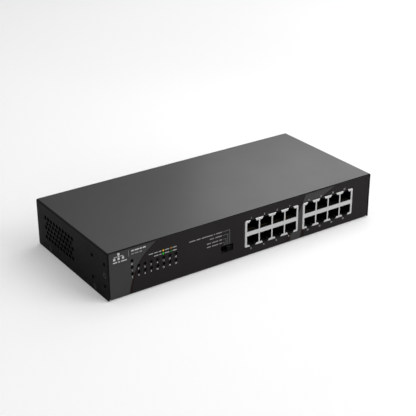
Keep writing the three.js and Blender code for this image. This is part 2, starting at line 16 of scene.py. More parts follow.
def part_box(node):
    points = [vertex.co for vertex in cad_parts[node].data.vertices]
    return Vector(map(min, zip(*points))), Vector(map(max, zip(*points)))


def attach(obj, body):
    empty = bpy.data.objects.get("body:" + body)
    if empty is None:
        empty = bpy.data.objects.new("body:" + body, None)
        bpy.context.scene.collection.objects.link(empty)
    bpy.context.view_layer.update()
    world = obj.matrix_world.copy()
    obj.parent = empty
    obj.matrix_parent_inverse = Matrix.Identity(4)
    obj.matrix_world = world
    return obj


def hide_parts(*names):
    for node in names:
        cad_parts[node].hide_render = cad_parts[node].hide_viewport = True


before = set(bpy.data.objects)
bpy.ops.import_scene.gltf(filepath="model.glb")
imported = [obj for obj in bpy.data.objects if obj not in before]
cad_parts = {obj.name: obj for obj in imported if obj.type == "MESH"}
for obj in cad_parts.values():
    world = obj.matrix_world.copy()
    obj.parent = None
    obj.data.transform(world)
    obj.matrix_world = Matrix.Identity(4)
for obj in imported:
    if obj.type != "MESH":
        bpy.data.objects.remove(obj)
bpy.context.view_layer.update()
MM = 0.001
random.seed(7)

# bodies that the pieces ride on
CASE, SLIDER = "case", "mode_slider"


class Box:
    """CAD box of a node; x, y and z are its centre."""

    def __init__(self, node):
        low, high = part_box(node)
        self.x0, self.y0, self.z0 = (round(v / MM, 4) for v in low)
        self.x1, self.y1, self.z1 = (round(v / MM, 4) for v in high)
        self.x = (self.x0 + self.x1) / 2
        self.y = (self.y0 + self.y1) / 2
        self.z = (self.z0 + self.z1) / 2


# =====================================================================================
# shared dimensions
# =====================================================================================
COVER = Box("top_cover")
CHASSIS = Box("base_chassis")
FILM = Box("front_overlay")
INLET = Box("ac_inlet_body")
JACKS = {name: Box(name + "_shield") for name in ("jack_a", "jack_b")}

SHEET = 1.0              # thickness of the case sheet
BEND_RADIUS = 1.5        # outer radius of a bend in it
BEND_LENGTH = 2.0        # length of a bend in the flat pattern
BEND_STEPS = 6

# holes in the case sides
EAR_Y, EAR_Z = (-58.0, -38.0), (12.2, 32.3)
COVER_SCREWS = {"upper": (-57.9, 22.1), "front": (-40.0, 4.1), "rear": (40.9, 4.1)}  # y, z
VENT_ROWS = (32.1, 27.4, 22.7, 17.9, 13.2)
VENT_PITCH, VENT_START_Y = 5.49, -2.9

# openings in the front: lamps as (x, z), the selector slot as x0, x1, z0, z1
LAMP_X = [-117.2 + 6 * k for k in range(8)]
LAMP_ROWS = (25.1, 19.1)
POWER_LAMP = (-117.2, 31.1)
LAMPS = [POWER_LAMP] + [(x, z) for x in LAMP_X for z in LAMP_ROWS]
SLOT = (-29.5, -16.7, 11.05, 17.55)

# jack cells, measured from the middle of a block
CELL_X = (-21.0, -7.0, 7.0, 21.0)
JACK_Z = JACKS["jack_a"].z
CELL_BASE = JACK_Z + 2.125       # contact side of an upper cell
CONTACT_PITCH = 1.02
JACK_SETBACK = 0.3               # from the front of the CAD box to the plate and moulding

# pan-head screws, and the pressed posts as x, y, height
PAN_SCREWS = {name: Box(name) for name in
              [f"board_screw_{i}" for i in range(1, 5)]
              + ["psu_screw_1", "psu_screw_2", "earth_screw"]}
POSTS = [(box.x, box.y, 7.0) for name, box in PAN_SCREWS.items() if name != "earth_screw"]
POSTS += [(-129.0, -20.0, 7.0), (-66.0, 34.0, 7.0)]
POSTS.append((PAN_SCREWS["earth_screw"].x, PAN_SCREWS["earth_screw"].y, 2.0))


# =====================================================================================
# materials
# =====================================================================================
MATS = {}


class Graph:
    """A new material and short ways to write its node tree."""

    def __init__(self, name):
        MATS[name] = bpy.data.materials.new(name)
        MATS[name].use_nodes = True
        self.tree = MATS[name].node_tree
        self.tree.nodes.clear()
        self.out = self.new("ShaderNodeOutputMaterial")
        self.shader = self.new("ShaderNodeBsdfPrincipled")
        self.link(self.shader.outputs[0], self.out.inputs[0])
        self.coords = self.new("ShaderNodeTexCoord").outputs["Object"]

    def link(self, source, target):
        self.tree.links.new(source, target)

    def new(self, kind, **settings):
        node = self.tree.nodes.new(kind)
        for key, value in settings.items():
            setattr(node, key, value)
        return node

    def noise(self, scale, detail=3.0, rough=0.5, vector=None):
        node = self.new("ShaderNodeTexNoise")
        node.inputs["Scale"].default_value = scale
        node.inputs["Detail"].default_value = detail
        node.inputs["Roughness"].default_value = rough
        self.link(vector or self.coords, node.inputs["Vector"])
        return node.outputs["Fac"]

    def cell_edges(self, scale):
        node = self.new("ShaderNodeTexVoronoi", feature="DISTANCE_TO_EDGE")
        node.inputs["Scale"].default_value = scale
        self.link(self.coords, node.inputs["Vector"])
        return node.outputs["Distance"]

    def stretch(self, scale):
        node = self.new("ShaderNodeMapping")
        node.inputs["Scale"].default_value = scale
        self.link(self.coords, node.inputs["Vector"])
        return node.outputs["Vector"]

    def xyz(self):
        node = self.new("ShaderNodeSeparateXYZ")
        self.link(self.coords, node.inputs[0])
        return node.outputs

    def math(self, operation, a, b=0.0, clamp=False):
        node = self.new("ShaderNodeMath", operation=operation, use_clamp=clamp)
        for socket, value in zip(node.inputs, (a, b)):
            if isinstance(value, (int, float)):
                socket.default_value = value
            else:
                self.link(value, socket)
        return node.outputs[0]

    def remap(self, value, source, target=(0, 1)):
        node = self.new("ShaderNodeMapRange")
        node.inputs["From Min"].default_value = source[0]
        node.inputs["From Max"].default_value = source[1]
        node.inputs["To Min"].default_value = target[0]
        node.inputs["To Max"].default_value = target[1]
        self.link(value, node.inputs["Value"])
        return node.outputs[0]

    def mix(self, factor, a, b):
        node = self.new("ShaderNodeMix", data_type="RGBA")
        self.link(factor, node.inputs[0])
        for socket, value in ((node.inputs[6], a), (node.inputs[7], b)):
            if isinstance(value, tuple):
                socket.default_value = (*value, 1.0)
            else:
                self.link(value, socket)
        return node.outputs[2]

    def tone(self, pattern, dark, light):
        """Colour that drifts between two tones with a noise."""
        return self.mix(self.remap(pattern, (0.35, 0.65)), dark, light)

    def uneven(self, pattern, low, high):
        """Roughness that drifts between two values with a noise."""
        return self.remap(pattern, (0.3, 0.7), (low, high))

    def surface(self, colour, roughness, specular=0.5, metallic=0.0):
        self.link(colour, self.shader.inputs["Base Color"])
        if isinstance(roughness, float):
            self.shader.inputs["Roughness"].default_value = roughness
        else:
            self.link(roughness, self.shader.inputs["Roughness"])
        self.shader.inputs["Specular IOR Level"].default_value = specular
        self.shader.inputs["Metallic"].default_value = metallic

    def bump(self, height, strength, depth):
        node = self.new("ShaderNodeBump")
        node.inputs["Strength"].default_value = strength
        node.inputs["Distance"].default_value = depth
        self.link(height, node.inputs["Height"])
        self.link(node.outputs[0], self.shader.inputs["Normal"])


def grey(value):
    return (value, value, value)


def finish(name, dark, light, rough, tone, gloss, bump, specular=0.5):
    """A plain surface. rough is low, high; tone and gloss are the scale and detail of the
    noises behind colour and roughness; bump is scale, detail, strength, depth."""
    graph = Graph(name)
    graph.surface(graph.tone(graph.noise(*tone), dark, light),
                  graph.uneven(graph.noise(*gloss), *rough), specular)
    scale, detail, strength, depth = bump
    graph.bump(graph.noise(scale, detail), strength, depth)


def plastic(name, dark, light, rough, grain, depth, specular=0.4):
    """Moulded plastic: fine spark-eroded grain, faint tone patches, slightly uneven gloss."""
    finish(name, dark, light, rough=(rough - 0.06, rough + 0.06), tone=(60.0, 4.0),
           gloss=(180.0, 3.0), bump=(grain, 2.0, 0.35, depth), specular=specular)


def metal(name, dark, light, rough, streak, metallic=1.0):
    """Bare or plated metal: fine directional streaks in tone and roughness."""
    graph = Graph(name)
    vector = graph.stretch(streak)
    streaks = graph.noise(30.0, detail=5.0, rough=0.6, vector=vector)
    gloss = graph.noise(55.0, detail=4.0, rough=0.6, vector=vector)
    graph.surface(graph.tone(streaks, dark, light),
                  graph.uneven(gloss, rough - 0.08, rough + 0.08), metallic=metallic)
    graph.bump(streaks, strength=0.25, depth=0.00001)


def powder_coat(name, dark, light, speck, rough, specular):
    """Black powder coat: fine orange peel with lighter specks."""
    graph = Graph(name)
    peel = graph.noise(1500.0, detail=2.0, rough=0.55)
    fine = graph.noise(4200.0, detail=1.0)
    base = graph.tone(graph.noise(9.0), dark, light)
    graph.surface(graph.mix(graph.remap(fine, (0.3, 0.7)), base, speck),
                  graph.uneven(graph.noise(25.0, detail=4.0), *rough), specular)
    height = graph.math("ADD", peel, graph.math("MULTIPLY", fine, 0.35))
    graph.bump(height, strength=0.5, depth=0.00003)


def film(name, dark, light, screen=None):
    """Printed film. screen is the colour of a fine diagonal line screen, 0.84 mm pitch."""
    graph = Graph(name)
    colour = graph.tone(graph.noise(14.0), dark, light)
    if screen:
        x, _, z = graph.xyz()
        phase = graph.math("ADD", graph.math("MULTIPLY", x, 5300.0),
                           graph.math("MULTIPLY", z, 5300.0))
        lines = graph.remap(graph.math("SINE", phase), (-0.2, 0.6))
        colour = graph.mix(graph.math("MULTIPLY", lines, 0.55), colour, screen)
    graph.surface(colour, graph.uneven(graph.noise(420.0, detail=2.0), 0.38, 0.46),
                  specular=0.2)
    graph.bump(graph.noise(2600.0, detail=2.0), strength=0.3, depth=0.000012)


def board(name, mask, trace, rough):
    """Circuit board: solder mask over coarse and fine traces."""
    graph = Graph(name)
    coarse = graph.remap(graph.cell_edges(260.0), (0.03, 0.07), (1, 0))
    fine = graph.remap(graph.cell_edges(900.0), (0.05, 0.10), (1, 0))
    traces = graph.math("MAXIMUM", coarse, graph.math("MULTIPLY", fine, 0.4), clamp=True)
    graph.surface(graph.mix(traces, mask, trace),
                  graph.uneven(graph.noise(200.0), rough - 0.05, rough + 0.05))
    graph.bump(traces, strength=0.3, depth=0.00003)


def earth_insulation():
    """Green and yellow lead, striped across x + z."""
    graph = Graph("pvc_earth")
    x, _, z = graph.xyz()
    wave = graph.math("SINE", graph.math("MULTIPLY", graph.math("ADD", x, z), 1400.0))
    colour = graph.mix(graph.remap(wave, (0.25, 0.45)), (0.04, 0.24, 0.03), (0.62, 0.50, 0.03))
    graph.surface(colour, graph.uneven(graph.noise(300.0), 0.36, 0.46))
    graph.bump(graph.noise(900.0), strength=0.3, depth=0.00001)


def transformer_tape():
    """Yellow tape wound in level bands."""
    graph = Graph("transformer_tape")
    z = graph.xyz()[2]
    bands = graph.remap(graph.math("SINE", graph.math("MULTIPLY", z, 2600.0)), (-0.1, 0.1))
    graph.surface(graph.mix(bands, (0.50, 0.36, 0.03), (0.58, 0.43, 0.05)),
                  graph.uneven(graph.noise(150.0), 0.28, 0.4))
    graph.bump(bands, strength=0.3, depth=0.00004)


# painted shade: the sides of the cover get a shaded copy of the coat, darker in tone and duller
# than the top, since the light falls on the top
powder_coat("powder_coat", dark=(0.0110, 0.0111, 0.0114), light=(0.0138, 0.0139, 0.0142),
            speck=(0.0172, 0.0172, 0.0175), rough=(0.31, 0.36), specular=0.62)
powder_coat("side_coat_painted_shade", dark=(0.0060, 0.0061, 0.0063), light=(0.0080, 0.0081, 0.0083),
            speck=(0.0100, 0.0100, 0.0102), rough=(0.45, 0.52), specular=0.2)
finish("powder_coat_inner", dark=(0.016, 0.016, 0.017), light=(0.023, 0.023, 0.024),
       rough=(0.5, 0.6), tone=(300.0, 3.0), gloss=(80.0, 3.0), bump=(1500.0, 2.0, 0.4, 0.00003))
# painted shade: the cut edges and hole walls of the cover are coloured nearly black, for the
# dark gaps at its front ends and in its holes
finish("edge_coat_painted_shade", dark=(0.007, 0.007, 0.0073), light=(0.011, 0.011, 0.0115),
       rough=(0.55, 0.65), tone=(300.0, 3.0), gloss=(80.0, 3.0),
       bump=(1500.0, 2.0, 0.4, 0.00003), specular=0.12)

film("film_dark", dark=(0.0150, 0.0134, 0.0130), light=(0.0178, 0.0159, 0.0156))
film("film_light", dark=grey(0.059), light=grey(0.066), screen=(0.031, 0.0305, 0.0305))
film("film_brown", dark=(0.0100, 0.0034, 0.0022), light=(0.0120, 0.0043, 0.0030))

# dark colour, light colour, roughness
INKS = {
    "ink_white": (grey(0.62), grey(0.72), 0.5),
    "ink_grey": (grey(0.30), grey(0.37), 0.5),
    "ink_line": (grey(0.15), grey(0.18), 0.5),
    "ink_legend": (grey(0.42), grey(0.50), 0.5),
    "ink_amber": ((0.92, 0.50, 0.0), (1.0, 0.58, 0.0), 0.45),
    "ink_amber_dim": ((0.55, 0.24, 0.005), (0.64, 0.29, 0.01), 0.45),
    "ink_green": ((0.01, 0.62, 0.01), (0.02, 0.74, 0.02), 0.45),
    "ink_green_dim": ((0.01, 0.20, 0.02), (0.015, 0.26, 0.03), 0.45),
}
for name, (dark, light, rough) in INKS.items():
    plastic(name, dark, light, rough, grain=3000.0, depth=0.000004)

# dark colour, light colour, roughness, noise stretch along x, y, z, metallic
METALS = {
    "tin_plate": ((0.70, 0.70, 0.695), (0.78, 0.78, 0.775), 0.5, (12, 60, 60), 0.35),
    "zinc_plate": ((0.50, 0.51, 0.53), (0.64, 0.65, 0.67), 0.32, (60, 60, 60), 1.0),
    "black_oxide": ((0.045, 0.045, 0.046), (0.070, 0.070, 0.072), 0.34, (90, 90, 90), 0.4),
    "black_steel": ((0.010, 0.010, 0.0105), (0.018, 0.018, 0.0185), 0.45, (90, 90, 90), 0.0),
    # painted shade: gold contacts and springs coloured far darker than gold plating, as they sit
    # deep in the dark jack cells and the switch
    "dark_gold_painted_shade": ((0.026, 0.017, 0.006), (0.042, 0.028, 0.010), 0.42, (20, 120, 20), 1.0),
    "brass_blade": ((0.62, 0.55, 0.38), (0.76, 0.70, 0.54), 0.26, (20, 120, 20), 1.0),
    "extruded_aluminium": ((0.52, 0.53, 0.55), (0.66, 0.67, 0.69), 0.36, (120, 6, 120), 1.0),
    "copper_wire": ((0.42, 0.14, 0.05), (0.60, 0.24, 0.09), 0.3, (20, 20, 300), 0.85),
}
for name, values in METALS.items():
    metal(name, *values)

# dark colour, light colour, roughness, grain scale, grain depth, specular
PLASTICS = {
    "black_nylon": ((0.0045, 0.0045, 0.0048), (0.0075, 0.0075, 0.0080), 0.55, 1400.0, 2e-5, 0.2),
    "knob_black": ((0.0040, 0.0040, 0.0042), (0.0065, 0.0065, 0.0068), 0.5, 1200.0, 2e-5, 0.15),
    "inlet_black": ((0.010, 0.010, 0.011), (0.016, 0.016, 0.017), 0.36, 1000.0, 1e-5, 0.45),
    "chip_epoxy": ((0.020, 0.020, 0.022), (0.032, 0.032, 0.034), 0.55, 2200.0, 1e-5, 0.4),
    "phenolic": ((0.13, 0.06, 0.025), (0.21, 0.10, 0.045), 0.5, 500.0, 1e-5, 0.4),
    "natural_nylon": ((0.60, 0.56, 0.45), (0.72, 0.68, 0.57), 0.45, 800.0, 1e-5, 0.4),
    "blue_sleeve": ((0.010, 0.022, 0.085), (0.018, 0.034, 0.12), 0.3, 700.0, 1e-5, 0.5),
    "yellow_box": ((0.26, 0.15, 0.012), (0.33, 0.20, 0.02), 0.35, 700.0, 1e-5, 0.4),
    "polyester_sheet": (grey(0.014), grey(0.022), 0.4, 400.0, 1e-5, 0.4),
    "pvc_brown": ((0.11, 0.035, 0.013), (0.16, 0.055, 0.022), 0.4, 900.0, 1e-5, 0.4),
    "pvc_blue": ((0.02, 0.07, 0.30), (0.035, 0.10, 0.38), 0.4, 900.0, 1e-5, 0.4),
    "pvc_red": ((0.34, 0.012, 0.010), (0.44, 0.022, 0.018), 0.4, 900.0, 1e-5, 0.4),
    "pvc_black": (grey(0.012), grey(0.020), 0.4, 900.0, 1e-5, 0.4),
}
for name, values in PLASTICS.items():
    plastic(name, *values)

earth_insulation()
finish("light_pipe", dark=(0.0035, 0.0036, 0.0038), light=(0.0055, 0.0057, 0.0060),
       rough=(0.22, 0.32), tone=(200.0, 3.0), gloss=(400.0, 3.0),
       bump=(700.0, 3.0, 0.2, 0.00001), specular=0.15)
board("board_green", mask=(0.008, 0.055, 0.022), trace=(0.020, 0.110, 0.045), rough=0.33)
board("board_tan", mask=(0.15, 0.095, 0.035), trace=(0.20, 0.135, 0.06), rough=0.5)
transformer_tape()
finish("fuse_glass", dark=(0.55, 0.58, 0.60), light=(0.70, 0.72, 0.74), rough=(0.1, 0.2),
       tone=(150.0, 3.0), gloss=(90.0, 3.0), bump=(300.0, 3.0, 0.1, 0.00001))


# =====================================================================================
# flat outlines
# =====================================================================================
def area(loop):
    return 0.5 * sum(loop[i][0] * loop[(i + 1) % len(loop)][1]
                     - loop[(i + 1) % len(loop)][0] * loop[i][1] for i in range(len(loop)))


def inside(point, loop):
    x, y = point
    hit = False
    for i, (x0, y0) in enumerate(loop):
        x1, y1 = loop[(i + 1) % len(loop)]
        if (y0 > y) != (y1 > y) and x < (x1 - x0) * (y - y0) / (y1 - y0) + x0:
            hit = not hit
    return hit


def offset(loop, distance):
    """Moves a closed loop to the left of its direction of travel."""
    if abs(distance) < 1e-9:
        return list(loop)
    out = []
    for i, (x, y) in enumerate(loop):
        ax, ay = loop[i - 1]
        cx, cy = loop[(i + 1) % len(loop)]
        before = math.hypot(x - ax, y - ay)
        after = math.hypot(cx - x, cy - y)
        n1 = (-(y - ay) / before, (x - ax) / before)
        n2 = (-(cy - y) / after, (cx - x) / after)
        k = distance / max(0.25, 1 + n1[0] * n2[0] + n1[1] * n2[1])
        out.append((x + (n1[0] + n2[0]) * k, y + (n1[1] + n2[1]) * k))
    return out


def circle(cx, cy, radius, sides=24):
    return [(cx + radius * math.cos(2 * math.pi * i / sides),
             cy + radius * math.sin(2 * math.pi * i / sides)) for i in range(sides)]


def rounded(points, radii, seg=4):
    """Rounds the corners of a polygon. radii is one radius or one for each corner."""
    out = []
    for i, (px, py) in enumerate(points):
        radius = radii[i] if isinstance(radii, list) else radii
        ax, ay = points[i - 1][0] - px, points[i - 1][1] - py
        bx, by = points[(i + 1) % len(points)][0] - px, points[(i + 1) % len(points)][1] - py
        la, lb = math.hypot(ax, ay), math.hypot(bx, by)
        if radius <= 0 or la < 1e-9 or lb < 1e-9:
            out.append((px, py))
            continue
        ax, ay, bx, by = ax / la, ay / la, bx / lb, by / lb
        angle = math.acos(max(-1.0, min(1.0, ax * bx + ay * by)))
        if angle > math.pi - 0.02:
            out.append((px, py))
            continue
        cut = min(radius / math.tan(angle / 2), 0.48 * la, 0.48 * lb)
        fitted = cut * math.tan(angle / 2)
        mx, my = ax + bx, ay + by
        ml = math.hypot(mx, my)
        cx = px + mx / ml * fitted / math.sin(angle / 2)
        cy = py + my / ml * fitted / math.sin(angle / 2)
        x0, y0, x1, y1 = px + ax * cut, py + ay * cut, px + bx * cut, py + by * cut
        turn = math.pi - angle
        sign = 1 if (x0 - cx) * (y1 - cy) - (y0 - cy) * (x1 - cx) > 0 else -1
        out.append((x0, y0))
        for k in range(1, seg):
            t = sign * turn * k / seg
            out.append((cx + (x0 - cx) * math.cos(t) - (y0 - cy) * math.sin(t),
                        cy + (x0 - cx) * math.sin(t) + (y0 - cy) * math.cos(t)))
        out.append((x1, y1))
    return out


def rounded_rows(rows, seg=4):
    """Rounds a polygon given as rows of x, y, corner radius."""
    return rounded([(x, y) for x, y, _ in rows], [radius for _, _, radius in rows], seg)


def rect(x0, x1, y0, y1, radius=0.0, seg=4):
    corners = [(x0, y0), (x1, y0), (x1, y1), (x0, y1)]
    return rounded(corners, radius, seg) if radius else corners


def mirrored(half):
    """Completes an outline from its +x half."""
    return half + [(-x, *rest) for x, *rest in reversed(half)]


def insert_hits(out, hits, gap):
    """Adds the crossing points found along one edge, in order and without doubles."""
    last = None
    for _, point in sorted(hits):
        if last is None or math.dist(point, last) > gap:
            out.append(point)
            last = point


def cross_insert(loop, lines):
    """Puts a vertex on a loop wherever a line ('u' or 'v', place, low, high) crosses it."""
    out = []
    for i, a in enumerate(loop):
        b = loop[(i + 1) % len(loop)]
        out.append(a)
        hits = []
        for axis, place, low, high in lines:
            k = 0 if axis == "u" else 1
            d = b[k] - a[k]
            if abs(d) < 1e-9:
                continue
            t = (place - a[k]) / d
            if 1e-7 < t < 1 - 1e-7:
                other = a[1 - k] + t * (b[1 - k] - a[1 - k])
                if low - 1e-6 <= other <= high + 1e-6:
                    hits.append((t, (place, other) if k == 0 else (other, place)))
        insert_hits(out, hits, gap=1e-5)
    return out


def poly_insert(loop, curves):
    """Puts a vertex on a loop wherever one of the curves crosses it."""
    out = []
    for i, a in enumerate(loop):
        b = loop[(i + 1) % len(loop)]
        out.append(a)
        hits = []
        for curve in curves:
            for p, q in zip(curve, curve[1:]):
                d = (b[0] - a[0]) * (q[1] - p[1]) - (b[1] - a[1]) * (q[0] - p[0])
                if abs(d) < 1e-12:
                    continue
                t = ((p[0] - a[0]) * (q[1] - p[1]) - (p[1] - a[1]) * (q[0] - p[0])) / d
                s = ((p[0] - a[0]) * (b[1] - a[1]) - (p[1] - a[1]) * (b[0] - a[0])) / d
                if 1e-6 < t < 1 - 1e-6 and -1e-9 <= s <= 1 + 1e-9:
                    hits.append((t, (a[0] + t * (b[0] - a[0]), a[1] + t * (b[1] - a[1]))))
        insert_hits(out, hits, gap=1e-4)
    return out


def loop_edges(start, count):
    return [(start + k, start + (k + 1) % count) for k in range(count)]


def triangulate(points, edges, tolerance):
    """Constrained triangulation: points, triangles, and the input points behind each point."""
    result = delaunay_2d_cdt([Vector(p) for p in points], edges, [], 0, tolerance)
    return result[0], result[2], result[3]


# =====================================================================================
# mesh helpers
# =====================================================================================
class Shape:
    """Gathers vertices and faces, each face with a material name."""

    def __init__(self):
        self.verts, self.faces, self.mats = [], [], []

    def add(self, verts, faces, mat):
        """mat is one name, or a list with one for each face."""
        base = len(self.verts)
        self.verts.extend(verts)
        self.faces.extend(tuple(i + base for i in face) for face in faces)
        self.mats.extend([mat] * len(faces) if isinstance(mat, str) else mat)

    def emit(self, name, slot, replaces=(), body=CASE, angle=32, weighted=True):
        """Makes the object; edges sharper than angle stay hard."""
        names = list(dict.fromkeys(self.mats))
        mesh = bpy.data.meshes.new(name)
        mesh.from_pydata([(x * MM, y * MM, z * MM) for x, y, z in self.verts], [], self.faces)
        for mat in names:
            mesh.materials.append(MATS[mat])
        mesh.polygons.foreach_set("material_index", [names.index(m) for m in self.mats])
        bm = bmesh.new()
        bm.from_mesh(mesh)
        bmesh.ops.recalc_face_normals(bm, faces=bm.faces)
        for face in bm.faces:
            face.smooth = True
        bm.to_mesh(mesh)
        bm.free()
        mesh.set_sharp_from_angle(angle=math.radians(angle))
        ob = bpy.data.objects.new(name, mesh)
        bpy.context.scene.collection.objects.link(ob)
        if weighted:
            ob.modifiers.new("normals", "WEIGHTED_NORMAL").keep_sharp = True
        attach(ob, body)
        if replaces:
            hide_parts(*replaces)


def bend(t, w, radius=BEND_RADIUS, length=BEND_LENGTH):
    """A quarter bend. t is the flat distance past its start and w the depth in the sheet.
    Returns the distance run on along the first face and the distance behind that face."""
    if t <= 0:
        return t, w
    if t <= length:
        angle = t / length * math.pi / 2
        return (radius - w) * math.sin(angle), radius - (radius - w) * math.cos(angle)
    return radius - w, radius + (t - length)


def bend_lines(axis, start, sign, low, high):
    return [(axis, start + sign * BEND_LENGTH * k / BEND_STEPS, low, high)
            for k in range(BEND_STEPS + 1)]


def upright(y, sign=1):
    """Fold for a flat upright plate whose outer face is at y; sign is the way it thickens."""
    return lambda u, v, w: (u, y + sign * w, v)


def rim_profile(radius, thick, arc):
    """Edge of a sheet as (inset, depth): rounded on both faces, or square if radius is 0."""
    if radius <= 0:
        return [(0, 0), (0, thick)]
    half = []
    for k in range(arc + 1):
        t = math.pi / 2 * k / arc
        half.append((radius * (1 - math.sin(t)), radius * (1 - math.cos(t))))
    return half + [(inset, thick - depth) for inset, depth in reversed(half)]


def sheet(shape, outer, holes, fold, thick, mat, edge=0.12, lines=(), curves=(),
          region=None, edge_mat=None, inner_mat=None, arc=2):
    """A sheet or a thick plate with holes.

    outer and holes are loops in (u, v); a hole may be (loop, rim profile). fold takes
    (u, v, w) to (x, y, z), with w from 0 on the outer face to thick on the inner one.
    lines are bends, curves divide the face, and region names the outer material at (u, v).
    """
    verts, faces, mats = [], [], []

    def put(u, v, w):
        verts.append(fold(u, v, w))
        return len(verts) - 1

    rims = ([], [])
    for number, item in enumerate([outer, *holes]):
        profile = rim_profile(edge, thick, arc)
        if isinstance(item, tuple):
            item, profile = item
        if (area(item) < 0) == (number == 0):
            item = item[::-1]
        item = poly_insert(cross_insert(item, lines), curves)
        rings = []
        for inset, depth in profile:
            loop = offset(item, inset)
            rings.append((loop, [put(u, v, depth) for u, v in loop]))
        for (_, a), (_, b) in zip(rings, rings[1:]):
            for i, j in loop_edges(0, len(a)):
                faces.append((a[i], a[j], b[j], b[i]))
                mats.append(edge_mat or mat)
        rims[0].append(rings[0])
        rims[1].append(rings[-1])

    for side, rim in enumerate(rims):
        outlines = [loop for loop, _ in rim]
        points, ids, edges = [], [], []
        for loop, loop_ids in rim:
            edges.extend(loop_edges(len(points), len(loop)))
            points.extend(loop)
            ids.extend(loop_ids)
        rim_count = len(points)

        def solid_at(p):
            return inside(p, outlines[0]) and not any(inside(p, hole) for hole in outlines[1:])

        for axis, place, low, high in lines:
            k = 0 if axis == "u" else 1

            def on_line(other):
                return (place, other) if k == 0 else (other, place)

            on = sorted((p[1 - k], i) for i, p in enumerate(points[:rim_count])
                        if abs(p[k] - place) < 1e-4 and low - 0.5 <= p[1 - k] <= high + 0.5)
            for other, i in on:
                points[i] = on_line(other)
            for (o0, i0), (o1, i1) in zip(on, on[1:]):
                if o1 - o0 >= 1e-6 and solid_at(on_line((o0 + o1) / 2)):
                    edges.append((i0, i1))
        for curve in curves:
            start = len(points)
            points.extend(curve)
            edges.extend((i, i + 1) for i in range(start, start + len(curve) - 1))

        flat, triangles, origins = triangulate(points, edges, 1e-4)
        index = {}
        for i, origin in enumerate(origins):
            own = [k for k in origin if k < rim_count]
            index[i] = ids[own[0]] if own else None
        for tri in triangles:
            cx = sum(flat[i].x for i in tri) / len(tri)
            cy = sum(flat[i].y for i in tri) / len(tri)
            if abs(area([(flat[i].x, flat[i].y) for i in tri])) < 1e-9 or not solid_at((cx, cy)):
                continue
            for i in tri:
                if index[i] is None:
                    index[i] = put(flat[i].x, flat[i].y, thick * side)
            face = tuple(index[i] for i in tri)
            if side == 1:
                faces.append(face)
                mats.append(inner_mat or mat)
            else:
                faces.append(face[::-1])
                mats.append(region(cx, cy) if region else mat)
    shape.add(verts, faces, mats)


def block(shape, x, y, z, mat, radius=0.2, seg=2):
    """A box with rounded edges; x, y and z are (low, high)."""
    radius = min(radius, 0.49 * min(x[1] - x[0], y[1] - y[0], z[1] - z[0]))
    bm = bmesh.new()
    bmesh.ops.create_cube(bm, size=1.0)
    for v in bm.verts:
        v.co = Vector([span[c >= 0] for span, c in zip((x, y, z), v.co)])
    if radius > 0.01:
        bmesh.ops.bevel(bm, geom=list(bm.edges), offset=radius, segments=seg, profile=0.5,
                        affect="EDGES", clamp_overlap=True)
    add_bmesh(shape, bm, mat)


def add_bmesh(shape, bm, mat):
    bm.verts.ensure_lookup_table()
    bm.verts.index_update()
    shape.add([tuple(v.co) for v in bm.verts],
              [tuple(v.index for v in f.verts) for f in bm.faces], mat)
    bm.free()


def lathe(shape, profile, axis, centre, mat, sides=24):
    """Turns (radius, height) round the 'y' or 'z' axis. Both ends are closed; the last
    radius is 0."""
    verts, faces, rings = [], [], []
    for radius, height in profile:
        loop = circle(0, 0, radius, sides) if radius else [(0.0, 0.0)]
        rings.append(list(range(len(verts), len(verts) + len(loop))))
        verts.extend((a, b, height) for a, b in loop)
    for a, b in zip(rings, rings[1:]):
        for k, j in loop_edges(0, sides):
            if len(a) == 1:
                faces.append((a[0], b[j], b[k]))
            elif len(b) == 1:
                faces.append((a[k], a[j], b[0]))
            else:
                faces.append((a[k], a[j], b[j], b[k]))
    if len(rings[0]) > 1:
        faces.append(rings[0])
    if axis == "y":
        verts = [(b, height, a) for a, b, height in verts]
    shape.add([tuple(p + c for p, c in zip(v, centre)) for v in verts], faces, mat)


def loft(shape, rings, mat):
    """Skins a row of equal rings of points and closes both ends."""
    count = len(rings[0])
    faces = []
    for start in range(0, count * (len(rings) - 1), count):
        for k, j in loop_edges(0, count):
            faces.append((start + k, start + j, start + count + j, start + count + k))
    last = count * (len(rings) - 1)
    faces.append(tuple(reversed(range(count))))
    faces.append(tuple(range(last, last + count)))
    shape.add([p for ring in rings for p in ring], faces, mat)


def sweep(shape, path, section, mat):
    """Pushes a closed section along a path in a plane of constant x."""
    points = [Vector(p) for p in path]
    last = len(points) - 1
    tangents = [(points[min(i + 1, last)] - points[max(i - 1, 0)]).normalized()
                for i in range(last + 1)]
    across = tangents[0].cross(Vector((1, 0, 0))).normalized()
    rings = []
    for i, (point, tangent) in enumerate(zip(points, tangents)):
        if i:
            across = (tangents[i - 1].rotation_difference(tangent) @ across).normalized()
        up = tangent.cross(across).normalized()
        rings.append([tuple(point + across * a + up * b) for a, b in section])
    loft(shape, rings, mat)


def spline(points, per=10):
    """Catmull-Rom through the points, per steps in each span."""
    out = []
    p = [Vector(q) for q in points]
    p = [p[0] * 2 - p[1]] + p + [p[-1] * 2 - p[-2]]
    for i in range(1, len(p) - 2):
        for k in range(per):
            t = k / per
            out.append(tuple(0.5 * (
                (2 * p[i]) + (-p[i - 1] + p[i + 1]) * t
                + (2 * p[i - 1] - 5 * p[i] + 4 * p[i + 1] - p[i + 2]) * t * t
                + (-p[i - 1] + 3 * p[i] - 3 * p[i + 1] + p[i + 2]) * t ** 3)))
    out.append(tuple(p[-2]))
    return out


def bent(points, radius, seg=5):
    """A 3-D polyline with rounded corners."""
    out = [tuple(points[0])]
    for before, corner, after in zip(points, points[1:], points[2:]):
        p = Vector(corner)
        a = Vector(before) - p
        b = Vector(after) - p
        angle = a.angle(b)
        if angle > math.radians(177):
            out.append(tuple(p))
            continue
        cut = min(radius / math.tan(angle / 2), 0.48 * a.length, 0.48 * b.length)
        p0, p1 = p + a.normalized() * cut, p + b.normalized() * cut
        for k in range(seg + 1):
            t = k / seg
            out.append(tuple(p0 * (1 - t) ** 2 + p * 2 * t * (1 - t) + p1 * t * t))
    out.append(tuple(points[-1]))
    return out


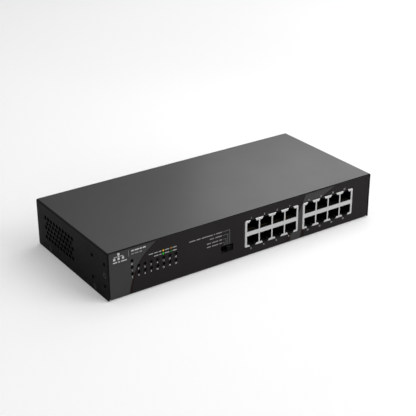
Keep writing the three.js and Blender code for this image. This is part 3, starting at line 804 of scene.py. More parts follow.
# =====================================================================================
# top cover
# =====================================================================================
COVER_SIDE = COVER.x1 - BEND_RADIUS      # start of the side bends
COVER_BACK = COVER.y1 - BEND_RADIUS      # start of the bend of the rear lip
LIP_Z = 39.0                             # lower edge of the rear lip


def cover_u(z):
    """Place of a height on the cover's side in the flat pattern."""
    return COVER_SIDE + BEND_LENGTH + (COVER.z1 - BEND_RADIUS - z)


def cover_fold(u, v, w):
    if v > COVER_BACK and abs(u) < COVER_SIDE - 0.4:
        run, drop = bend(v - COVER_BACK, w)
        return (u, COVER_BACK + run, COVER.z1 - drop)
    run, drop = bend(abs(u) - COVER_SIDE, w)
    return (math.copysign(COVER_SIDE + run, u), v, COVER.z1 - drop)


def cover_region(u, v):
    # the sides take the shaded copy of the coat: painted shade
    on_side = abs(u) > COVER_SIDE + BEND_LENGTH * 0.62
    return "side_coat_painted_shade" if on_side else "powder_coat"


def cover_holes():
    countersink = [(1.15, 0.0), (1.05, 0.05), (0.12, 0.88), (0.0, 1.0)]  # inset, depth
    holes = []
    for side in (-1, 1):
        for row, z in enumerate(VENT_ROWS):
            stagger, count = (0, 10) if row % 2 == 0 else (VENT_PITCH / 2, 9)
            for i in range(count):
                y = VENT_START_Y + stagger + VENT_PITCH * i
                holes.append(circle(side * cover_u(z), y, 2.0, 20))
        for y in EAR_Y:
            for z in EAR_Z:
                holes.append(circle(side * cover_u(z), y, 1.6, 20))
        for y, z in COVER_SCREWS.values():
            holes.append((circle(side * cover_u(z), y, 2.0, 32), countersink))
    return holes


def build_cover():
    hem = cover_u(COVER.z0)
    back = COVER.y1 - 1.0                # rear edge of the sides
    lip = COVER_BACK + BEND_LENGTH + (COVER.z1 - BEND_RADIUS - LIP_Z)
    notch_out, notch_in = COVER_SIDE - 0.2, COVER_SIDE - 0.9   # relief beside the lip
    outline = rounded_rows(mirrored([     # u, v, corner radius
        (hem, COVER.y0, 0.6), (hem, back, 0.6), (notch_out, back, 0.15),
        (notch_out, back - 0.9, 0.25), (notch_in, back - 0.9, 0.25), (notch_in, lip, 0.6)]))
    lines = (bend_lines("u", COVER_SIDE, 1, COVER.y0, back)
             + bend_lines("u", -COVER_SIDE, -1, COVER.y0, back)
             + bend_lines("v", COVER_BACK, 1, -notch_in, notch_in))
    shape = Shape()
    # edges and hole walls take the nearly black edge coat: painted shade
    sheet(shape, outline, cover_holes(), cover_fold, SHEET, "powder_coat", edge=0.14,
          lines=lines, region=cover_region, edge_mat="edge_coat_painted_shade",
          inner_mat="powder_coat_inner")
    shape.emit("cover_shell", "case_paint", ["top_cover"])


# =====================================================================================
# base chassis
# =====================================================================================
CHASSIS_FRONT = CHASSIS.y0 + BEND_RADIUS     # starts of the bends of the floor
CHASSIS_BACK = CHASSIS.y1 - BEND_RADIUS
CHASSIS_SIDE = CHASSIS.x1 - BEND_RADIUS
EAR_START_Z = 9.3                            # the front ears begin above this height


def front_v(z):
    """Place of a height on the front wall in the flat pattern."""
    return CHASSIS_FRONT - BEND_LENGTH - (z - BEND_RADIUS)


def rear_v(z):
    return CHASSIS_BACK + BEND_LENGTH + (z - BEND_RADIUS)


def chassis_fold(u, v, w):
    if v < CHASSIS_FRONT:
        run, z = bend(CHASSIS_FRONT - v, w)
        if z < EAR_START_Z:
            return (u, CHASSIS_FRONT - run, z)
        run, depth = bend(abs(u) - CHASSIS_SIDE, w)
        return (math.copysign(CHASSIS_SIDE + run, u), CHASSIS.y0 + depth, z)
    if v > CHASSIS_BACK:
        run, z = bend(v - CHASSIS_BACK, w)
        return (u, CHASSIS_BACK + run, z)
    run, z = bend(abs(u) - CHASSIS_SIDE, w)
    return (math.copysign(CHASSIS_SIDE + run, u), v, z)


def chassis_holes():
    side_start = CHASSIS_SIDE + BEND_LENGTH
    holes = []
    for box in JACKS.values():
        holes.append(rect(box.x0 - 0.4, box.x1 + 0.4,
                          front_v(box.z1 + 0.4), front_v(box.z0 - 0.4), 0.5))
    holes.append(rect(SLOT[0], SLOT[1], front_v(SLOT[3]), front_v(SLOT[2]), 0.4))
    for x, z in LAMPS:
        holes.append(circle(x, front_v(z), 1.55, 20))
    holes.append(rect(INLET.x - 13.8, INLET.x + 13.8,
                      rear_v(INLET.z - 10.2), rear_v(INLET.z + 10.2), 0.6))
    for side in (-1, 1):
        def ear_u(y):
            return side * (side_start + (y - CHASSIS.y0 - BEND_RADIUS))

        for y in EAR_Y:
            for z in EAR_Z:
                holes.append(circle(ear_u(y), front_v(z), 1.25, 16))
        y, z = COVER_SCREWS["upper"]
        holes.append(circle(ear_u(y), front_v(z), 1.8, 20))
        for key in ("front", "rear"):
            y, z = COVER_SCREWS[key]
            holes.append(circle(side * (side_start + (z - BEND_RADIUS)), y, 1.8, 20))
    for x, y, _ in POSTS:
        holes.append(circle(x, y, 2.8, 24))
    return holes


def build_chassis():
    ear = CHASSIS_SIDE + BEND_LENGTH + 28.25     # rear edge of the front ears
    flange = CHASSIS_SIDE + BEND_LENGTH + 7.5    # top of the side flanges
    inner = CHASSIS_SIDE - 0.3                   # inner end of the corner reliefs
    ear_low, ear_high = front_v(9.45), front_v(42.75)
    flange_front, flange_back = CHASSIS_FRONT + 0.35, CHASSIS_BACK - 0.45
    outline = rounded_rows(mirrored([            # u, v, corner radius
        (ear, ear_high, 1.5), (ear, ear_low, 0.5), (inner, ear_low, 0),
        (inner, front_v(9.15), 0), (CHASSIS.x1 - 0.2, front_v(9.15), 0.2),
        (CHASSIS.x1 - 0.2, front_v(2.1), 0.2), (inner, front_v(2.1), 0),
        (inner, flange_front, 0), (flange, flange_front, 0.8), (flange, flange_back, 0.8),
        (inner, flange_back, 0), (inner, rear_v(2.1), 0),
        (CHASSIS.x1 - 0.3, rear_v(2.1), 0.2), (CHASSIS.x1 - 0.3, rear_v(42.5), 0.8)]))
    lines = (bend_lines("v", CHASSIS_FRONT, -1, -inner, inner)
             + bend_lines("v", CHASSIS_BACK, 1, -inner, inner))
    for low, high in ((flange_front, flange_back), (ear_high, ear_low)):
        lines += bend_lines("u", CHASSIS_SIDE, 1, low, high)
        lines += bend_lines("u", -CHASSIS_SIDE, -1, low, high)
    shape = Shape()
    sheet(shape, outline, chassis_holes(), chassis_fold, SHEET, "powder_coat",
          lines=lines, inner_mat="powder_coat_inner")
    shape.emit("chassis_shell", "case_paint", ["base_chassis"])


def build_posts():
    """Pressed-in posts: a head nearly flush with the underside and a hollow barrel above."""
    shape = Shape()
    for x, y, height in POSTS:
        lathe(shape, [(0, 0.04), (0.6, 0.04), (2.45, 0.04), (2.7, 0.15), (2.7, 1.0),
                      (2.9, 1.05), (2.9, height - 0.2), (2.7, height), (1.45, height),
                      (1.35, height - 0.15), (1.35, 1.3), (0, 1.2)],
              "z", (x, y, 0), "zinc_plate")
    shape.emit("chassis_posts", "zinc_steel")


# =====================================================================================
# printed front film
# =====================================================================================
# boundaries of the colour bands from left to right, as (z, x) stations going up
BAND_TABLES = [
    [(0, -121.0), (1, -120.6), (10, -118.4), (20, -114.8), (28, -110.2), (35, -103.7),
     (43, -92.8), (45, -89.5)],
    [(0, -118.5), (1, -118.1), (10, -116.3), (20, -113.0), (28, -108.6), (35, -102.4),
     (43, -91.4), (45, -88.0)],
    [(0, 41.1), (1, 41.4), (8, 43.6), (15, 47.2), (22, 51.2), (30, 55.4), (37, 58.8),
     (43, 61.6), (45, 62.5)],
    [(0, 45.6), (1, 45.9), (8, 47.2), (15, 50.0), (22, 53.4), (30, 57.1), (37, 60.2),
     (43, 62.9), (45, 63.8)],
    [(0, 57.4), (1, 57.6), (12, 60.0), (20, 64.6), (28, 71.8), (35.5, 82.0), (39.5, 90.0),
     (43, 98.0), (45, 102.5)],
    [(0, 61.2), (1, 61.3), (12, 63.3), (20, 67.6), (28, 74.6), (35.5, 84.8), (39.5, 92.8),
     (43, 100.8), (45, 105.3)],
]
# material to the left of each boundary; film_dark lies right of the last
BAND_MATS = ("film_light", "film_brown", "film_dark", "film_brown", "film_light", "film_brown")


def band_curve(table):
    """Smooth (x, z) curve through a band table, cut to the height of the film."""
    low, high = FILM.z0, FILM.z1
    points = spline([(x, z) for z, x in table])
    out = []
    for a, b in zip(points, points[1:]):
        if a[1] < low <= b[1] or a[1] <= low < b[1]:
            t = (low - a[1]) / (b[1] - a[1])
            out.append((a[0] + t * (b[0] - a[0]), low))
        if low < a[1] < high:
            out.append(a)
        if a[1] < high <= b[1]:
            t = (high - a[1]) / (b[1] - a[1])
            out.append((a[0] + t * (b[0] - a[0]), high))
    return out


BANDS = [band_curve(table) for table in BAND_TABLES]


def curve_x(curve, z):
    for a, b in zip(curve, curve[1:]):
        if a[1] <= z <= b[1]:
            return a[0] + (z - a[1]) / max(1e-9, b[1] - a[1]) * (b[0] - a[0])
    return curve[0][0] if z < curve[0][1] else curve[-1][0]


def film_region(x, z):
    for curve, mat in zip(BANDS, BAND_MATS):
        if x < curve_x(curve, z):
            return mat
    return "film_dark"


def build_film():
    holes = [rect(box.x0 - 0.35, box.x1 + 0.35, box.z0 - 0.35, box.z1 + 0.35, 0.45)
             for box in JACKS.values()]
    holes.append(rect(*SLOT, 0.35))
    holes += [circle(x, z, 1.5, 24) for x, z in LAMPS]
    shape = Shape()
    sheet(shape, rect(FILM.x0, FILM.x1, FILM.z0, FILM.z1, 0.5), holes, upright(FILM.y0),
          FILM.y1 - FILM.y0, "film_dark", edge=0.0, curves=BANDS, region=film_region)
    shape.emit("front_film", "front_film", ["front_overlay"], weighted=False)


# ---- printing, as thin raised ink with one shape for each colour
INK = 0.02
WORD_GAP = 0.8
ink_shapes = {}


def ink_shape(mat):
    return ink_shapes.setdefault(mat, Shape())


def ink_poly(loop, mat):
    sheet(ink_shape(mat), loop, [], upright(FILM.y0 - INK), INK, mat, edge=0.0)


def words(x0, x1, z, height, mat, lengths):
    """A row of short bars where a legend sits, scaled to fill x0 to x1."""
    scale = (x1 - x0) / (sum(lengths) + WORD_GAP * (len(lengths) - 1))
    x = x0
    for length in lengths:
        ink_poly(rect(x, x + length * scale, z - height / 2, z + height / 2,
                      min(0.12, 0.4 * height), 2), mat)
        x += (length + WORD_GAP) * scale


def digits(number, x, z, height, mat):
    """A number in the built-in font, centred at x, z."""
    text = bpy.data.curves.new("digits", "FONT")
    text.body = str(number)
    text.size = 1.0
    text.offset = 0.03
    text.resolution_u = 3
    ob = bpy.data.objects.new("digits", text)
    bpy.context.scene.collection.objects.link(ob)
    bpy.context.view_layer.update()
    evaluated = ob.evaluated_get(bpy.context.evaluated_depsgraph_get())
    mesh = bpy.data.meshes.new_from_object(evaluated)
    xs = [v.co.x for v in mesh.vertices]
    ys = [v.co.y for v in mesh.vertices]
    scale = height / 0.73
    mid_x, mid_y = (min(xs) + max(xs)) / 2, (min(ys) + max(ys)) / 2
    bm = bmesh.new()
    bm.from_mesh(mesh)
    bmesh.ops.remove_doubles(bm, verts=bm.verts, dist=1e-5)
    bmesh.ops.dissolve_degenerate(bm, dist=1e-5, edges=bm.edges)
    raised = bmesh.ops.extrude_face_region(bm, geom=list(bm.faces))["geom"]
    outer = {v for v in raised if isinstance(v, bmesh.types.BMVert)}
    for v in bm.verts:
        v.co = Vector((x + (v.co.x - mid_x) * scale, FILM.y0 - INK if v in outer else FILM.y0,
                       z + (v.co.y - mid_y) * scale))
    add_bmesh(ink_shape(mat), bm, mat)
    bpy.data.objects.remove(ob)
    bpy.data.curves.remove(text)
    bpy.data.meshes.remove(mesh)


def print_numbers():
    """Port numbers above and below the jacks, lamp numbers under the lamps."""
    for bank, box in enumerate(JACKS.values()):
        for column, cell_x in enumerate(CELL_X):
            port = 8 * bank + 2 * column + 1
            x = box.x + cell_x - 1.6
            digits(port, x, 36.3, 1.6, "ink_legend")
            digits(port + 1, x, 6.7, 1.6, "ink_legend")
    for k, x in enumerate(LAMP_X):
        for row, z in enumerate(LAMP_ROWS):
            digits(2 * k + 1 + row, x, z - 3.0, 1.4, "ink_white")


def print_power_symbol():
    """A ring broken at the top and a stroke, below the power lamp."""
    ring = []
    for radius, start, turn in ((0.75, 35, 290), (0.5, 325, -290)):
        for i in range(21):
            t = math.radians(start + turn * i / 20)
            ring.append((POWER_LAMP[0] + radius * math.sin(t), 28.1 + radius * math.cos(t)))
    ink_poly(ring, "ink_white")
    ink_poly(rect(-117.33, -117.07, 28.25, 29.1), "ink_white")


def print_lamp_legend():
    """Two rows, each with a bright and a dim dot."""
    for z, colour, start, lengths in ((31.6, "ink_amber", -101.2, [3.2, 2.6, 2.0]),
                                      (28.7, "ink_green", -96.2, [3.4, 1.6])):
        words(start, -89.2, z, 0.75, "ink_legend", lengths)
        ink_poly(circle(-87.4, z, 0.8, 24), colour)
        words(-85.9, -81.6, z, 0.75, "ink_legend", [4.0])
        ink_poly(circle(-79.8, z, 0.7, 24), colour + "_dim")
        words(-78.4, -74.4, z, 0.75, "ink_legend", [3.6])


def print_network_sign():
    """One node joined to three at the left end, with bars beside and below it."""
    def square(x, z, half=1.0):
        ink_poly(rect(x - half, x + half, z - half, z + half, 0.25, 3), "ink_white")

    square(-129.3, 40.6)
    for x in (-133.3, -129.3, -125.3):
        square(x, 36.4)
        ink_poly(rect(x - 0.2, x + 0.2, 37.4, 38.3), "ink_white")
    ink_poly(rect(-133.5, -125.1, 38.3, 38.7), "ink_white")
    ink_poly(rect(-129.5, -129.1, 38.7, 39.6), "ink_white")
    ink_poly(rect(-120.15, -119.85, 35.6, 41.4), "ink_grey")
    words(-117.6, -104.0, 40.0, 1.1, "ink_white", [3.0, 4.6, 2.4, 3.2])
    words(-117.6, -107.5, 37.2, 0.9, "ink_grey", [2.2, 3.4, 2.4])
    words(-134.6, -121.8, 33.6, 0.9, "ink_white", [3.2, 1.6, 4.4])


def print_selector_legend():
    """Four rows of bars, each with a leader line down to the selector slot."""
    half = 0.42 / 2
    foot, line_end = 18.1, -27.6
    rows = (     # leader x, row z, start of the bars, bar lengths
        (-20.4, 31.4, -62.0, [4.6, 2.8, 8.2, 0.8, 4.2]),
        (-22.4, 27.9, -41.0, [2.4, 3.8]),
        (-24.3, 24.2, -44.0, [2.6, 4.0, 1.6]),
        (-26.2, 21.0, -44.0, [2.6, 4.0, 1.6]))
    for x, z, start, lengths in rows:
        ink_poly([(x - half, foot), (x + half, foot), (x + half, z + half),
                  (line_end, z + half), (line_end, z - half), (x - half, z - half)], "ink_line")
        words(start, -28.6, z, 0.85, "ink_grey", lengths)


def build_printing():
    print_numbers()
    print_power_symbol()
    print_lamp_legend()
    print_network_sign()
    print_selector_legend()
    for mat, shape in ink_shapes.items():
        shape.emit("print_" + mat.replace("ink_", ""), "front_film", weighted=False, angle=30)


# =====================================================================================
# jack blocks
# =====================================================================================
SHIELD_SHEET = 0.25
SHIELD_RADIUS, SHIELD_BEND = 0.5, 0.8    # outer bend radius, length in the flat pattern
CAVITY = 13.7                            # depth of the cells
NOTCH_SLOPE = 2.1                        # height of the sloping part of the latch notch


def cell_loop(x, up, grow, reach, width, wide=0.0):
    """Outline of one opening in (x, z), with a latch notch away from the middle bar.

    grow enlarges it all round, wide widens it, and reach and width size the notch."""
    base, top = CELL_BASE - grow - 0.5 * wide, JACK_Z + 10.75 + grow
    side, shoulder = 6.05 + grow + wide, 3.95 + grow
    slope = min(1.0, reach / NOTCH_SLOPE)
    notch = shoulder + (width + grow - shoulder) * slope
    half = [(side, base, 0.3), (side, top, 0.3), (shoulder, top, 0.15),
            (notch, top + NOTCH_SLOPE * slope, 0.2)]     # x, z, corner radius
    if reach > NOTCH_SLOPE:
        half.append((notch, top + reach, 0.2))
    rows = mirrored(half)
    loop = rounded_rows([(x + dx, z, r) for dx, z, r in rows[-1:] + rows[:-1]], 3)
    return [(px, z if up else 2 * JACK_Z - z) for px, z in loop]


def build_shield(jack, box):
    """Front plate with top, side and bottom flaps folded back and a rear flap off the top."""
    front = box.y0 + JACK_SETBACK
    edge = (box.x1 - box.x0) / 2 - SHIELD_RADIUS       # starts of the front bends
    top, bottom = box.z1 - SHIELD_RADIUS, box.z0 + SHIELD_RADIUS
    rear_bend = box.y1 - front - SHIELD_RADIUS         # depth at which the top turns down

    def fold(u, v, w):
        def turned(t):
            return bend(t, w, SHIELD_RADIUS, SHIELD_BEND)

        if abs(u) > edge:
            run, depth = turned(abs(u) - edge)
            return (box.x + math.copysign(edge + run, u), front + depth, v)
        if v < bottom:
            run, depth = turned(bottom - v)
            return (box.x + u, front + depth, bottom - run)
        run, depth = turned(v - top)
        if depth <= rear_bend:
            return (box.x + u, front + depth, top + run)
        run, drop = turned(depth - rear_bend)
        return (box.x + u, box.y1 - SHIELD_RADIUS + run, box.z1 - drop)

    # the flat pattern is laid out for the full depth of the CAD box, without the setback
    depth, height = box.y1 - box.y0, box.z1 - box.z0
    side = edge + SHIELD_BEND + depth - SHIELD_RADIUS - 1.2
    rear = top + SHIELD_BEND + (depth - SHIELD_RADIUS - SHIELD_RADIUS)
    flap = edge - 0.12
    low, high = bottom + 0.12, top - 0.12
    outline = mirrored([
        (flap, bottom - SHIELD_BEND - 0.55), (flap, low), (side, low), (side, high),
        (flap, high), (flap, rear + SHIELD_BEND + height - SHIELD_RADIUS - 0.6)])
    holes = [cell_loop(x, up, 0.0, 3.1 if up else 2.55, 2.7, 0.3)
             for x in CELL_X for up in (True, False)]
    lines = []
    for k in range(5):
        t = SHIELD_BEND * k / 4
        lines += [("u", edge + t, low, high), ("u", -(edge + t), low, high),
                  ("v", top + t, -flap, flap), ("v", bottom - t, -flap, flap),
                  ("v", rear + t, -flap, flap)]
    shape = Shape()
    sheet(shape, outline, holes, fold, SHIELD_SHEET, "tin_plate", edge=0.05, lines=lines)
    shape.emit(jack + "_shell", "tin_shield", [jack + "_shield"])


def build_housing(jack, x_mid, housing):
    """Moulding with eight deep cavities, contact combs and latch shoulders."""
    front = housing.y0 + JACK_SETBACK
    shape = Shape()
    loops = [cell_loop(x_mid + x, up, -0.1, 1.3, 2.9) for x in CELL_X for up in (True, False)]
    sheet(shape, rect(housing.x0, housing.x1, housing.z0, housing.z1, 0.3), loops,
          upright(front), CAVITY, "black_nylon")
    block(shape, (housing.x0 + 0.05, housing.x1 - 0.05), (front + CAVITY + 0.02, housing.y1),
          (housing.z0 + 0.05, housing.z1 - 0.05), "black_nylon", 0.15)
    for cell_x in CELL_X:
        for up in (True, False):
            def span(low, high):
                z0, z1 = CELL_BASE + low, CELL_BASE + high
                return (z0, z1) if up else (2 * JACK_Z - z1, 2 * JACK_Z - z0)

            centre = x_mid + cell_x
            for i in range(9):
                x = centre + (i - 4) * CONTACT_PITCH
                block(shape, (x - 0.17, x + 0.17), (front + 1.6, front + CAVITY + 0.1),
                      span(0, 0.95), "black_nylon", 0.05, 1)
            for side in (-1, 1):
                block(shape, sorted((centre + side * 2.5, centre + side * 4.2)),
                      (front + 1.2, front + CAVITY), span(8.4, 9.9), "black_nylon", 0.1, 1)
    shape.emit(jack + "_moulding", "black_plastic", [jack + "_housing"])


def build_contacts(jack, x_mid, housing):
    """Formed wires in the combs, on their rear carrier."""
    box = Box(jack + "_contacts")
    front, back = housing.y0 + JACK_SETBACK, housing.y1
    shape = Shape()
    block(shape, (box.x0, box.x1), (back + 0.3, box.y1), (box.z0, box.z1), "black_nylon", 0.3)
    profile = [    # y, height above the contact side of the cell
        (back + 0.6, 0.42), (front + 3.2, 0.42), (front + 2.65, 0.85), (front + 3.5, 1.2),
        (front + 9.5, 2.0), (front + 12.6, 2.1)]
    for cell_x in CELL_X:
        for up in (True, False):
            for i in range(8):
                x = x_mid + cell_x + (i - 3.5) * CONTACT_PITCH
                path = bent([(x, y, CELL_BASE + height) for y, height in profile], 0.45, 4)
                if not up:
                    path = [(px, y, 2 * JACK_Z - z) for px, y, z in path]
                # the wires take the darkened gold: painted shade in the cells
                sweep(shape, path, rect(-0.13, 0.13, -0.22, 0.22), "dark_gold_painted_shade")
    shape.emit(jack + "_wires", "gold_contact", [jack + "_contacts"], angle=35)


def build_jacks():
    for jack, box in JACKS.items():
        housing = Box(jack + "_housing")
        build_shield(jack, box)
        build_housing(jack, box.x, housing)
        build_contacts(jack, box.x, housing)


# =====================================================================================
# screws
# =====================================================================================
SCREW_SIDES = 36
RECESS_DEPTH = 1.1
THREAD_PITCH = 0.5
# head profiles as (radius, depth below the face), from the face edge to the shank
COUNTERSUNK_HEAD = [(2.62, 0.0), (2.75, 0.12), (2.75, 0.2), (1.5, 1.4)]
PAN_HEAD = [(1.7, 0.0), (2.25, 0.22), (2.6, 0.7), (2.72, 1.3), (2.72, 1.75), (1.4, 1.82)]


def recess_outline(arm):
    """Cross with four arms, its corners slightly rounded."""
    width = arm * 0.30
    cross = []
    for q in range(4):
        t = q * math.pi / 2
        for u, v in ((arm, -width), (arm, width), (width * 1.15, width * 1.15)):
            cross.append((u * math.cos(t) - v * math.sin(t), u * math.sin(t) + v * math.cos(t)))
    return rounded(cross, 0.1, 2)


def screw(name, node, axis, centre, face, head, shank, length, mat, slot):
    """A screw whose head faces axis 'x', '-x' or 'z', with its face at that coordinate."""
    def place(a, b, depth):
        if axis == "z":
            return (centre[0] + a, centre[1] + b, face - depth)
        if axis == "x":
            return (face - depth, centre[0] + a, centre[1] + b)
        return (face + depth, centre[0] - a, centre[1] + b)

    # face of the head with its recess
    n = SCREW_SIDES
    cross = recess_outline(head[0][0] * 0.62)
    m = len(cross)
    points = circle(0, 0, head[0][0], n) + cross
    verts = [place(a, b, 0.0) for a, b in points]
    verts += [place(a * 0.42, b * 0.42, RECESS_DEPTH) for a, b in cross]
    faces = []
    flat, triangles, origins = triangulate(points, loop_edges(0, n) + loop_edges(n, m), 1e-6)
    for tri in triangles:
        middle = (sum(flat[i].x for i in tri) / 3, sum(flat[i].y for i in tri) / 3)
        if not inside(middle, cross):
            faces.append(tuple(origins[i][0] for i in tri))
    for i, k in loop_edges(n, m):
        faces.append((i, k, m + k, m + i))
    faces.append(tuple(range(n + m, n + 2 * m)))

    # rest of the head, then the shank with thread ridges
    profile = head[1:] + [(shank, head[-1][1] + 0.05)]
    depth = profile[-1][1] + 0.3
    while depth < length - 0.6:
        profile += [(shank, depth), (shank * 0.84, depth + THREAD_PITCH / 2)]
        depth += THREAD_PITCH
    profile.append((shank * 0.7, length))
    last = 0
    for radius, depth in profile:
        ring = len(verts)
        verts.extend(place(a, b, depth) for a, b in circle(0, 0, radius, n))
        for k, q in loop_edges(0, n):
            faces.append((last + k, last + q, ring + q, ring + k))
        last = ring
    faces.append(tuple(range(last, last + n)))
    shape = Shape()
    shape.add(verts, faces, mat)
    shape.emit(name, slot, [node], angle=35)


def build_screws():
    for side, axis, face in (("left", "-x", COVER.x0 + 0.04), ("right", "x", COVER.x1 - 0.04)):
        for place, centre in COVER_SCREWS.items():
            screw(f"case_screw_{side}_{place}", f"cover_screw_{side}_{place}", axis, centre,
                  face, COUNTERSUNK_HEAD, shank=1.4, length=6.0,
                  mat="black_oxide", slot="black_steel")
    for node, box in PAN_SCREWS.items():
        screw(node + "_pan", node, "z", (box.x, box.y), box.z1, PAN_HEAD, shank=1.3,
              length=box.z1 - box.z0, mat="zinc_plate", slot="zinc_steel")


# =====================================================================================
# mode switch
# =====================================================================================
KNOB_WIDTH, KNOB_HEIGHT, KNOB_Z = 4.8, 4.6, 14.4
RIB_PITCH = 1.16
CAN_RADIUS, CAN_BEND = 0.75, 1.2         # outer bend radius, length in the flat pattern


def build_knob():
    """Slider plate, and a knob with four raised grip ribs on its face."""
    box = Box("mode_switch_slider")
    low, high = KNOB_Z - KNOB_HEIGHT / 2, KNOB_Z + KNOB_HEIGHT / 2
    shape = Shape()
    block(shape, (box.x0, box.x1), (-60.25, box.y1), (box.z0, box.z1), "knob_black", 0.25, 3)
    block(shape, (box.x - KNOB_WIDTH / 2, box.x + KNOB_WIDTH / 2), (box.y0 + 0.42, -60.0),
          (low, high), "knob_black", 0.3, 3)
    for k in range(4):
        x = box.x - 1.5 * RIB_PITCH + k * RIB_PITCH
        block(shape, (x - 0.36, x + 0.36), (box.y0, box.y0 + 1.0), (low + 0.15, high - 0.15),
              "knob_black", 0.22, 3)
    shape.emit("mode_knob", "black_plastic", ["mode_switch_slider"], body=SLIDER)


def build_wiper():
    """Carrier strip with two bowed springs behind it."""
    box = Box("mode_switch_wiper")
    shape = Shape()
    # strip and springs take the darkened gold: painted shade
    block(shape, (box.x0, box.x1), (box.y0, box.y0 + 0.3), (box.z0, box.z1),
          "dark_gold_painted_shade", 0.06, 2)
    for x in (box.x0 + 0.8, box.x1 - 0.8):
        path = bent([(x, box.y0 + 0.2, box.z0 + 0.6), (x, box.y0 + 0.35, box.z0 + 1.0),
                     (x, box.y1 - 0.12, box.z), (x, box.y0 + 0.35, box.z1 - 1.0),
                     (x, box.y0 + 0.2, box.z1 - 0.6)], 0.8, 5)
        sweep(shape, path, rect(-0.09, 0.09, -0.5, 0.5), "dark_gold_painted_shade")
    shape.emit("mode_wiper_spring", "gold_contact", ["mode_switch_wiper"], body=SLIDER)


def build_switch_can():
    """Steel frame: front plate with a slot, top and sides folded back."""
    box = Box("mode_switch_frame")
    half = (box.x1 - box.x0) / 2
    edge, top = half - CAN_RADIUS, box.z1 - CAN_RADIUS     # starts of the bends

    def fold(u, v, w):
        if abs(u) > edge:
            run, depth = bend(abs(u) - edge, w, CAN_RADIUS, CAN_BEND)
            return (box.x + math.copysign(edge + run, u), box.y0 + depth, v)
        run, depth = bend(v - top, w, CAN_RADIUS, CAN_BEND)
        return (box.x + u, box.y0 + depth, top + run)

    flap, high = half - 0.9, box.z1 - 0.9
    depth = box.y1 - box.y0 - CAN_RADIUS
    side = edge + CAN_BEND + depth
    outline = mirrored([(flap, box.z0), (side, box.z0), (side, high), (flap, high),
                        (flap, top + CAN_BEND + depth)])
    lines = []
    for k in range(5):
        t = CAN_BEND * k / 4
        lines += [("u", edge + t, box.z0, high), ("u", -(edge + t), box.z0, high),
                  ("v", top + t, -flap, flap)]
    slot = rect(-28.9 - box.x, -17.1 - box.x, 11.75, 17.05, 0.3)
    shape = Shape()
    sheet(shape, outline, [slot], fold, 0.5, "black_steel", edge=0.08, lines=lines)
    shape.emit("mode_switch_can", "black_steel", ["mode_switch_frame"])


# =====================================================================================
# indicators
# =====================================================================================
GUIDE_TURN_Y = {POWER_LAMP[1]: -38.0, LAMP_ROWS[0]: -44.0, LAMP_ROWS[1]: -50.0}


def build_light_pipes():
    """Rods that run back from the lamps and turn down, with domed tips and joining bars."""
    box = Box("indicator_light_guide")
    tip = [(1.3, 1.6), (1.34, 1.5), (1.34, 0.5), (1.25, 0.22), (0.95, 0.06), (0.5, 0.01), (0, 0)]
    bar_y = (-57.3, -56.2)
    shape = Shape()
    for x, z in LAMPS:
        turn_y = GUIDE_TURN_Y[z]
        path = bent([(x, -61.8, z), (x, turn_y, z), (x, turn_y, box.z0)], 2.2, 6)
        sweep(shape, path, circle(0, 0, 1.15, 16), "light_pipe")
        lathe(shape, tip, "y", (x, box.y0 + 0.02, z), "light_pipe")
    for z in LAMP_ROWS:
        block(shape, (LAMP_X[0], LAMP_X[-1]), bar_y, (z - 0.5, z + 0.5), "light_pipe")
    block(shape, (LAMP_X[0] - 0.5, LAMP_X[0] + 0.5), bar_y, (LAMP_ROWS[1], POWER_LAMP[1]),
          "light_pipe")
    shape.emit("light_pipes", "clear_guide", ["indicator_light_guide"])


def build_lamp_shroud():
    """Plate with a hole for each lamp, on a leg at either end."""
    box = Box("indicator_shroud")
    shape = Shape()
    sheet(shape, rect(box.x0, box.x1, 15.5, box.z1, 0.4),
          [circle(x, z, 1.58, 20) for x, z in LAMPS], upright(box.y0), box.y1 - box.y0,
          "black_nylon", edge=0.15)
    for leg in ((box.x0, box.x0 + 1.75), (box.x1 - 1.75, box.x1)):
        block(shape, leg, (-60.5, box.y1), (box.z0, 15.8), "black_nylon")
    shape.emit("lamp_shroud", "black_plastic", ["indicator_shroud"])


# =====================================================================================
# mains inlet
# =====================================================================================
INLET_FLOOR_Y = 49.0       # bottom of the recess


def build_inlet():
    x, z = INLET.x, INLET.z
    recess = rounded([(x + u, z + v) for u, v in (
        (-12.2, -8.3), (12.2, -8.3), (12.2, 3.7), (7.6, 8.3), (-7.6, 8.3), (-12.2, 3.7))],
        1.0, 5)
    slots = [rect(x + dx - 1.25, x + dx + 1.25, z + dz - 2.25, z + dz + 2.25, 0.3)
             for dx, dz in ((-7, -2), (7, -2), (0, 2))]
    shape = Shape()
    # flange outside the rear wall, deep sleeve, and a back wall with blade slots
    sheet(shape, rect(INLET.x0, INLET.x1, INLET.z0, INLET.z1, 2.2, 6), [recess],
          upright(INLET.y1, -1), INLET.y1 - CHASSIS.y1 - 0.02, "inlet_black", edge=0.35, arc=3)
    sheet(shape, rect(x - 13.5, x + 13.5, z - 9.9, z + 9.9, 1.0), [recess],
          upright(CHASSIS.y1, -1), CHASSIS.y1 - INLET_FLOOR_Y, "inlet_black", edge=0.1)
    sheet(shape, rect(x - 13.45, x + 13.45, z - 9.85, z + 9.85, 1.0), slots,
          upright(INLET_FLOOR_Y - 0.01, -1), INLET_FLOOR_Y - INLET.y0 - 0.02,
          "inlet_black", edge=0.15)
    # small pads on the sides of the sleeve
    for side in (-1, 1):
        for dz in (-6.0, 6.0):
            block(shape, sorted((x + side * 13.3, x + side * 13.72)), (55.0, 61.4),
                  (z + dz - 1.6, z + dz + 1.6), "inlet_black", 0.15)
    shape.emit("inlet_moulding", "black_plastic", ["ac_inlet_body"])


